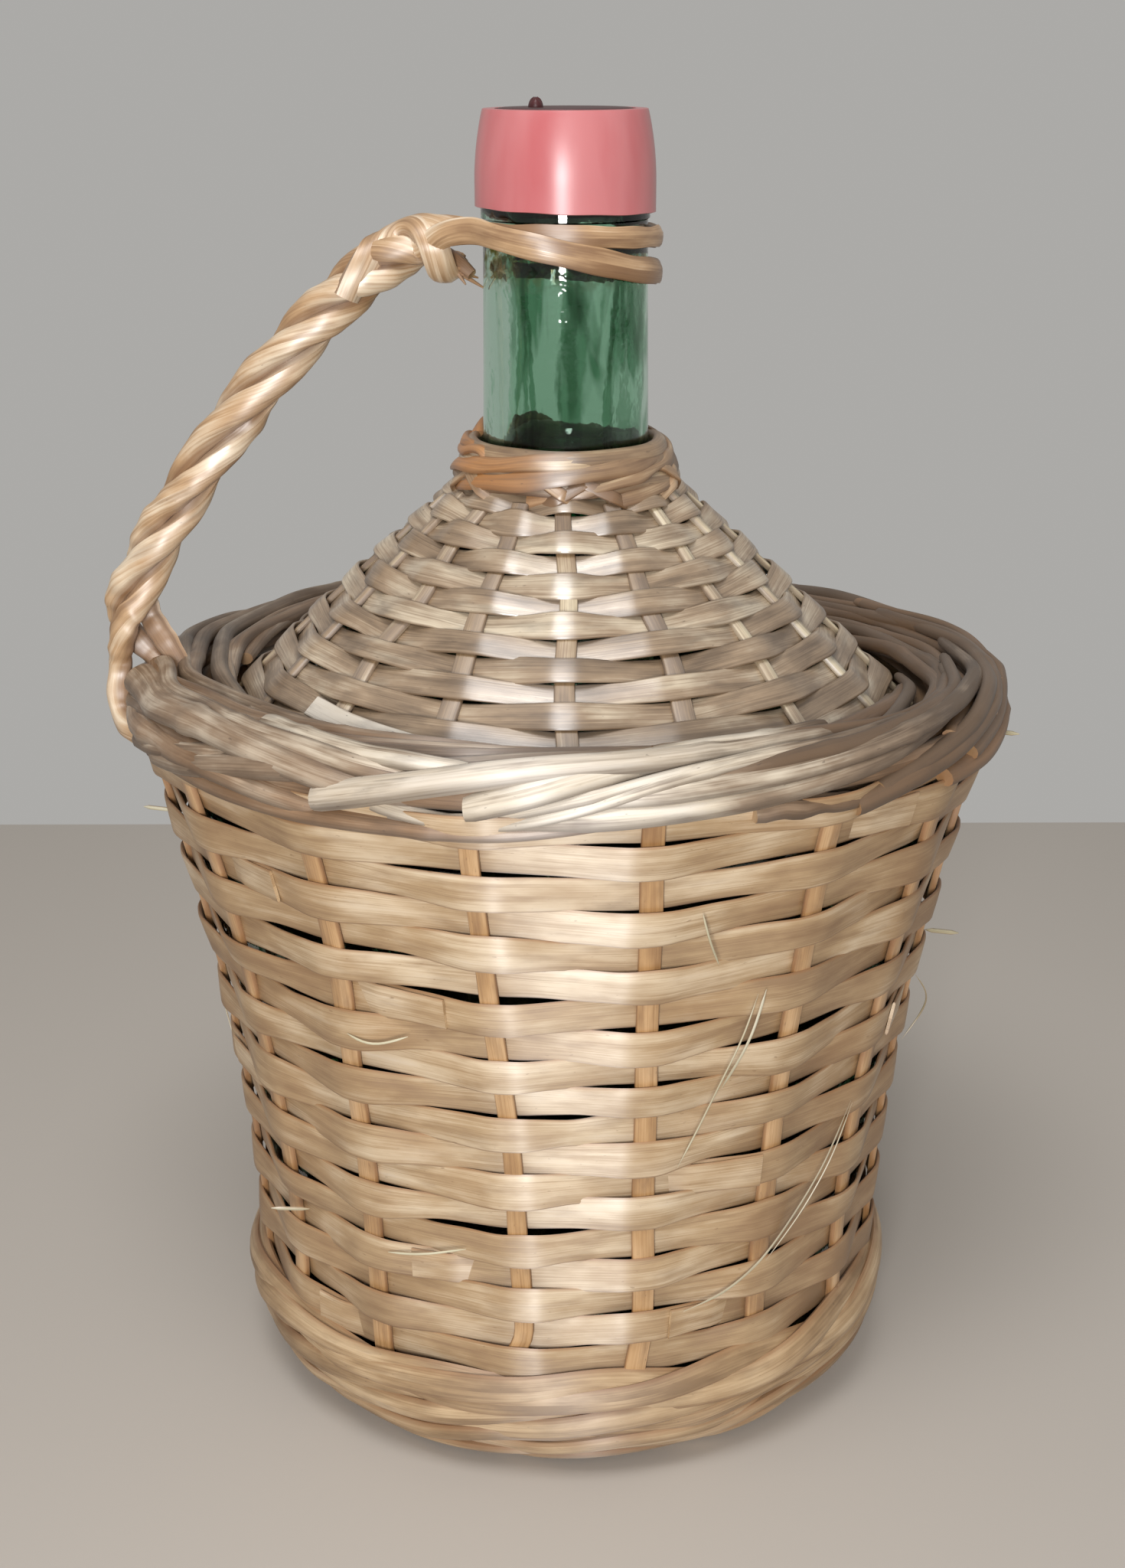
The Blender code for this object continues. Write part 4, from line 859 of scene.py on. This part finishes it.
outline = np.array((
    (0.2, 298.9), (13, 298.9), (14.2, 300), (14.2, 321.2), (16.2, 321.2), (16.2, 322.6), (15.8, 323.1),
    (15, 323.2), (0.2, 323.2),
)) / 1000
turned("stopper_moulded", outline, 96, stopper_plastic, "stopper", "stopper")
nub = bmesh.new()
bmesh.ops.create_uvsphere(nub, u_segments=20, v_segments=12, radius=0.0018)
for vertex in nub.verts:
    vertex.co.z = vertex.co.z * 1.15 + 0.0003 * sin(3 * atan2(vertex.co.y, vertex.co.x))
    vertex.co.x -= 0.007
    vertex.co.z += 0.3233
nub_mesh = bpy.data.meshes.new("stopper_nub")
nub.to_mesh(nub_mesh)
nub.free()
nub_mesh.materials.append(stopper_plastic)
finished("stopper_nub", nub_mesh, 50, "stopper", [])

# Handle
# Three peeled willow rods twisted together while damp: honey coloured, smooth and shiny. At the foot they are
# worked into the rim, and at the top two of them go on round the neck as flat ties, over a strip that binds them.

ROD = 0.0031
ROD_WIDE = ROD * 1.12
HANDLE_LAY = 0.0036
HANDLE_POINTS = 240
HANDLE_START = -0.3
HANDLE_TURNS = 7 / 3
HANDLE_CURVE = np.array([(-0.111, 0.2006), (-0.1098, 0.215), (-0.0628, 0.2823), (-0.0355, 0.292)])
NECK_RADIUS = 0.0204
NECK_TOP = 0.2976
TIE_DEPTH = 0.0014
TIE_POINTS = 120
GROOVES = (1, 1.03, 0.95, 1, 1.04, 0.86, 0.99, 1.03, 1, 0.9, 1, 1.04, 1, 0.97, 0.84, 1, 1.03, 1.01)
GROOVED = np.array([(cos(TURN * k / 18) * size, sin(TURN * k / 18) * size) for k, size in enumerate(GROOVES)])
# In degrees and mm: each rod's phase, the share of the handle at which it leaves the twist for the rim, its tail
# there (out, back, and up from the brim), half the tail's width and thickness, its lead to the neck (the last
# number is below the neck's top), half its tie's height, and the tie's way (degrees, off the neck, drop).
ROUTES = (
    (-120, -0.3, ((107.2, -13, -18), (111.8, -8.5, -18), (114.8, -4, -15), (115.2, -1.2, -10)), 3.4, 2.9,
     ((-30, -8.5, 2.8), (-24.5, -12, 1.8)), 3.1,
     ((-58, 2.6, 1.7), (-20, 2.4, 4.6), (10, 0.8, 7.4), (45, 0, 10.5), (90, 0, 12.7), (165, 0, 13.5),
      (240, 0, 12.1))),
    (0, -0.12, ((100.5, -2, -10), (102.5, -0.5, -4), (105.5, 2, -1), (108.5, 3, 0)), 2.4, 2.2,
     ((-28.5, -6, 1),), 2.6, ((-58, 0, 2.6), (0, 0, 2.4), (60, 0, 3.6), (120, 0, 4.6), (240, 0, 5.8))),
    (120, 0.08, ((96.2, -6, -13), (97, -3.5, -6), (99.2, -1.5, -0.5), (102.8, 0.5, 4), (106.2, 2, 7.5)), 2.4, 2,
     ((-27.5, -1, 8.6), (-22.5, -3.5, 12.8)), 1.4, ()),
)
KNOT = (  # mm along the handle's plane and of height, degrees round that line, and mm from it
    (-53, 281.2, -20, 4.8), (-49, 283.6, 35, 5.6), (-44.5, 286.3, 80, 6.2), (-39.2, 288.8, 98, 6.6),
    (-34.5, 290.8, 62, 7.6), (-31.5, 291.4, 8, 8.4), (-29.8, 291.4, -48, 8.4), (-28.5, 291.2, -100, 7.6),
    (-27.5, 291.2, -150, 5.5),
)


def handle_middle(share):
    """Points on the handle's middle line and the way it runs, in the upright plane through the axis."""
    drop, share = np.minimum(share, 0), np.maximum(share, 0)[:, None]
    rest = 1 - share
    first, second, third, last = HANDLE_CURVE
    curve = rest**3 * first + 3 * rest**2 * share * second + 3 * rest * share**2 * third + share**3 * last
    points = np.stack([curve[:, 0] - 0.002 * drop, np.zeros(len(drop)), curve[:, 1] + 0.0432 * drop], axis=1)
    return points, unit(np.gradient(points, axis=0))


def handle_turn(points):
    """Turns left before the head: tight at both ends, slower between."""
    run = distances(points)
    run = run / run[-1]
    pace = np.interp(run, (0, 0.2, 0.4, 0.7, 0.85, 1), (1.1, 1, 0.8, 0.8, 1.2, 1.3))
    twist = np.cumsum(pace * np.gradient(run))
    return HANDLE_TURNS * (1 - twist / twist[-1])


def stretch(points, hints, thick, wide):
    """Part of a rod: its places, the way its face looks, and half its thickness and width from end to end."""
    sizes = (np.linspace(*size, len(points)) for size in (thick, wide))
    return np.column_stack([points, np.broadcast_to(hints, points.shape), *sizes])


def frayed_tip(place, way, name):
    """A few loose fibres where a rod was torn off."""
    lengths = []
    for fibre in range(9):
        spread = unit(np.array(way)) + 0.28 * chance.normal(size=3)
        reach = np.linspace(0, 0.003 + 0.003 * chance.random(), 6)[:, None]
        centres = place + reach * spread + 0.0008 * chance.normal(size=3)
        thin = np.linspace(0.0008, 0.0002, 6)
        lengths.append(swept(centres, np.array([0.3, -1, 0.2]), ROUND, thin, thin, grain=fibre, warm=0.6))
    willow_piece(name, lengths, handle_willow)


handle_willow = willow(
    "twisted_willow_handle", "8a6541", "bf9a71", "e8d4b8", "6b482b", edge="77502e", stained=0.4, gloss=0.45,
    fibre_mm=0.7, relief=0.0003,
)
brim_top = brim_height(-pi / 2) + 0.0032
chance = np.random.default_rng(41)
middle, run = handle_middle(np.linspace(HANDLE_START, 1, HANDLE_POINTS))
back = np.array([0, 1, 0])
loose_ends = np.sin(np.linspace(0, pi, HANDLE_POINTS))
for rod, (phase, leaves_at, tail, wide, thick, lead, tie_height, way) in enumerate(ROUTES, start=1):
    wide, thick, tie_height = wide / 1000, thick / 1000, tie_height / 1000
    turn = radians(phase) + TURN * handle_turn(middle)
    turn += 0.12 * wander(HANDLE_POINTS, 5) * loose_ends
    offset = np.cos(turn)[:, None] * np.cross(run, back) + np.sin(turn)[:, None] * back
    left = int(HANDLE_POINTS * (leaves_at - HANDLE_START) / (1 - HANDLE_START))
    twisted, offset = (middle + HANDLE_LAY * offset)[left:], offset[left:]
    tail = np.array(tail) * (-0.001, 0.001, 0.001) + (0, 0, brim_top)
    foot = eased([*tail, twisted[0]], 0.0006, 60)[:-1]
    bridge = [twisted[-1], *(np.array(lead) * (0.001, 0.001, -0.001) + (0, 0, NECK_TOP))]
    parts = [
        stretch(foot, offset[0], (thick, ROD), (wide, ROD_WIDE)),
        stretch(twisted, offset, (ROD, ROD), (ROD_WIDE, ROD_WIDE)),
    ]
    if way:
        degrees, *way = np.array(way).T
        round_neck = np.linspace(-58, 240, TIE_POINTS)
        off, drop = (np.interp(round_neck, degrees, mm) / 1000 for mm in way)
        angle = np.radians(round_neck)
        tie = around(angle, NECK_RADIUS + 0.0004 + TIE_DEPTH + off, NECK_TOP - drop)
        out = around(angle, 1, 0)
        bridge = eased([*bridge, tie[0]], 0.0015, 8)[1:-1]
        blend = np.linspace(0, 1, len(bridge))[:, None]
        turning = offset[-1] * (1 - blend) + out[0] * blend
        parts += [
            stretch(bridge, turning, (ROD, TIE_DEPTH), (ROD, tie_height)),
            stretch(tie, out, (TIE_DEPTH, TIE_DEPTH), (tie_height, tie_height)),
        ]
    else:
        tapered = (ROD, tie_height)
        parts.append(stretch(eased(bridge, 0.001, 6)[1:], offset[-1], tapered, tapered))
    line = np.vstack(parts)
    smooth(line[:len(foot) + 13, :6], 40)
    smooth(line, 6)
    centres, hints = line[:, :3], line[:, 3:6]
    uneven = 1 + 0.05 * wander(len(line), 30)
    tone = 0.015 * (rod - 2) + 0.035 - 0.12 * limited((centres[:, 0] + 0.03) / 0.015)
    length = swept(
        centres, hints, GROOVED, line[:, 6] * uneven, line[:, 7] * uneven, grain=240 + rod * 4, tone=tone
    )
    willow_piece(f"handle_strand_{rod}", [length], handle_willow, [f"handle_rod_{rod}"])
    if rod == 1:
        frayed_tip(centres[0], centres[0] - centres[4], "handle_foot_fray")
along, height, degrees, off = np.array(KNOT).T
angle = np.radians(degrees)
places = np.stack([along, -off * np.cos(angle), height + off * np.sin(angle)], axis=1) / 1000
line = route(places, 90, 0.001, 30)
knot = swept(line, line * (0, 1, 1) - (0, 0, 0.29), GROOVED, 0.0025, 0.0038, grain=260, tone=0.02)
willow_piece("handle_knot", [knot], handle_willow)
frayed_tip(np.array([-0.0262, -0.003, 0.2862]), (1, 0.1, -0.5), "handle_head_fray")

# Loose fibres and splinters
# Long pale fibres that split off the strips hang on the front, and short splinters stick out at the sides.

LOOSE_FIBRES = (  # half the width, and stops of degrees, mm off the strips and mm of height
    (0.0005, (50, 0, 92), (44, 1.5, 78), (39, 0.5, 66), (33, 0.5, 56), (26, 0.8, 50), (19, 0, 47)),
    (0.00025, (50.5, 0, 91), (45, 2.2, 79), (40, 1.2, 66), (34, 0.2, 55.5)),
    (0.0003, (26, 0, 134), (24, 2, 124), (21.5, 1.5, 112), (19, 1, 100), (16.5, 0, 89)),
    (0.0005, (27, 0.4, 135), (25, 2.6, 123), (22, 0.8, 110)),
    (0.0003, (16.5, 0, 158), (17.2, 1.2, 152), (19.5, 0, 144)),
    (0.0003, (-30, 0, 60), (-24, 1, 62), (-16, 0, 66)),
    (0.0003, (-32, 0, 121), (-28, 1.8, 119), (-22, 0, 124)),
    (0.0003, (84, 0, 104), (86, 5, 98), (90, 6.5, 90), (88, 1, 82)),
    (0.0003, (-88, 0, 104), (-90, 2, 92), (-88, 0, 80)),
)
SPLINTERS = ((86, 171, 0.5), (-84, 151, -0.4), (84, 117, 0.8), (-48, 62, 0.6), (150, 120, 1), (205, 84, -0.5))


def loose_length(stops, tall, deep):
    """A fibre lying on the wall, through its stops, thin at both ends."""
    degrees, off, height = np.array(stops).T
    places = around(np.radians(degrees), wall_radius(height / 1000) + 0.0028 + off / 1000, height / 1000)
    line = route(places, 8 * len(places), 0.0015, 16)
    share = np.linspace(0, 1, len(line))
    taper = np.clip(8 * np.minimum(share, share[::-1]), 0.2, 1)
    hints = line * (1, 1, 0)
    return swept(line, hints, ROUND, deep * taper, tall * taper, grain=300 + degrees[0], twist=0.3)


loose_willow = willow(
    "loose_willow_fibres", "a89f80", "c8c0a2", "e2dcc4", "8f8768", stained=0.2, gloss=0.45, fibre_mm=0.3
)
lengths = [
    loose_length(stops, tall, 0.00015 if number < 4 else 0.0002)
    for number, (tall, *stops) in enumerate(LOOSE_FIBRES)
]
for degrees, height, rise in SPLINTERS:
    stops = [(degrees - 1.5 * step, 4 * step - 0.5, height + rise * step) for step in range(3)]
    lengths.append(loose_length(stops, 0.0006, 0.0004))
willow_piece("loose_fibres", lengths, loose_willow)

# Stage
# A pale worktop, one soft lamp beside the camera, one overhead, and even light from all round.

worktop_mesh = bpy.data.meshes.new("worktop")
worktop_mesh.from_pydata([(-2.5, -2.5, 0), (2.5, -2.5, 0), (2.5, 0.4, 0), (-2.5, 0.4, 0)], [], [range(4)])
worktop_paint = new_material("matt_worktop", {"Base Color": linear("bcb5ad"), "Roughness": 0.75})[0]
worktop_mesh.materials.append(worktop_paint)
worktop = placed("worktop", worktop_mesh)

world = bpy.data.worlds.new("room_light")
world.use_nodes = True
feed(world.node_tree.nodes["Background"], {"Color": linear("fffdf9"), "Strength": 0.41})
bpy.context.scene.world = world

for name, place, aim, width, height, power in (
    ("lamp_at_camera", (-0.06, -0.8, 0.31), (0, 0, 0.16), 0.14, 0.18, 1.7),
    ("lamp_overhead", (-0.1, -0.45, 1.05), (0, 0, 0.18), 0.4, 0.4, 1.65),
):
    lamp = bpy.data.lights.new(name, "AREA")
    lamp.shape = "RECTANGLE"
    lamp.size, lamp.size_y = width, height
    lamp.energy, lamp.spread = power, radians(110)
    turned_to = (Vector(aim) - Vector(place)).to_track_quat("-Z", "Y")
    placed(name, lamp).matrix_world = Matrix.Translation(place) @ turned_to.to_matrix().to_4x4()

camera_data = bpy.data.cameras.new("photo_camera")
camera_data.lens = 50.3
camera_data.shift_x = -0.001
camera = placed("photo_camera", camera_data)
camera.matrix_world = (
    Matrix.Translation((-0.0006, -0.5422, 0.3374))
    @ Matrix.Rotation(radians(90 - 18.67), 4, "X")
    @ Matrix.Rotation(-0.002, 4, "Z")
)
bpy.context.scene.camera = camera
bpy.context.scene.view_settings.view_transform = "Standard"
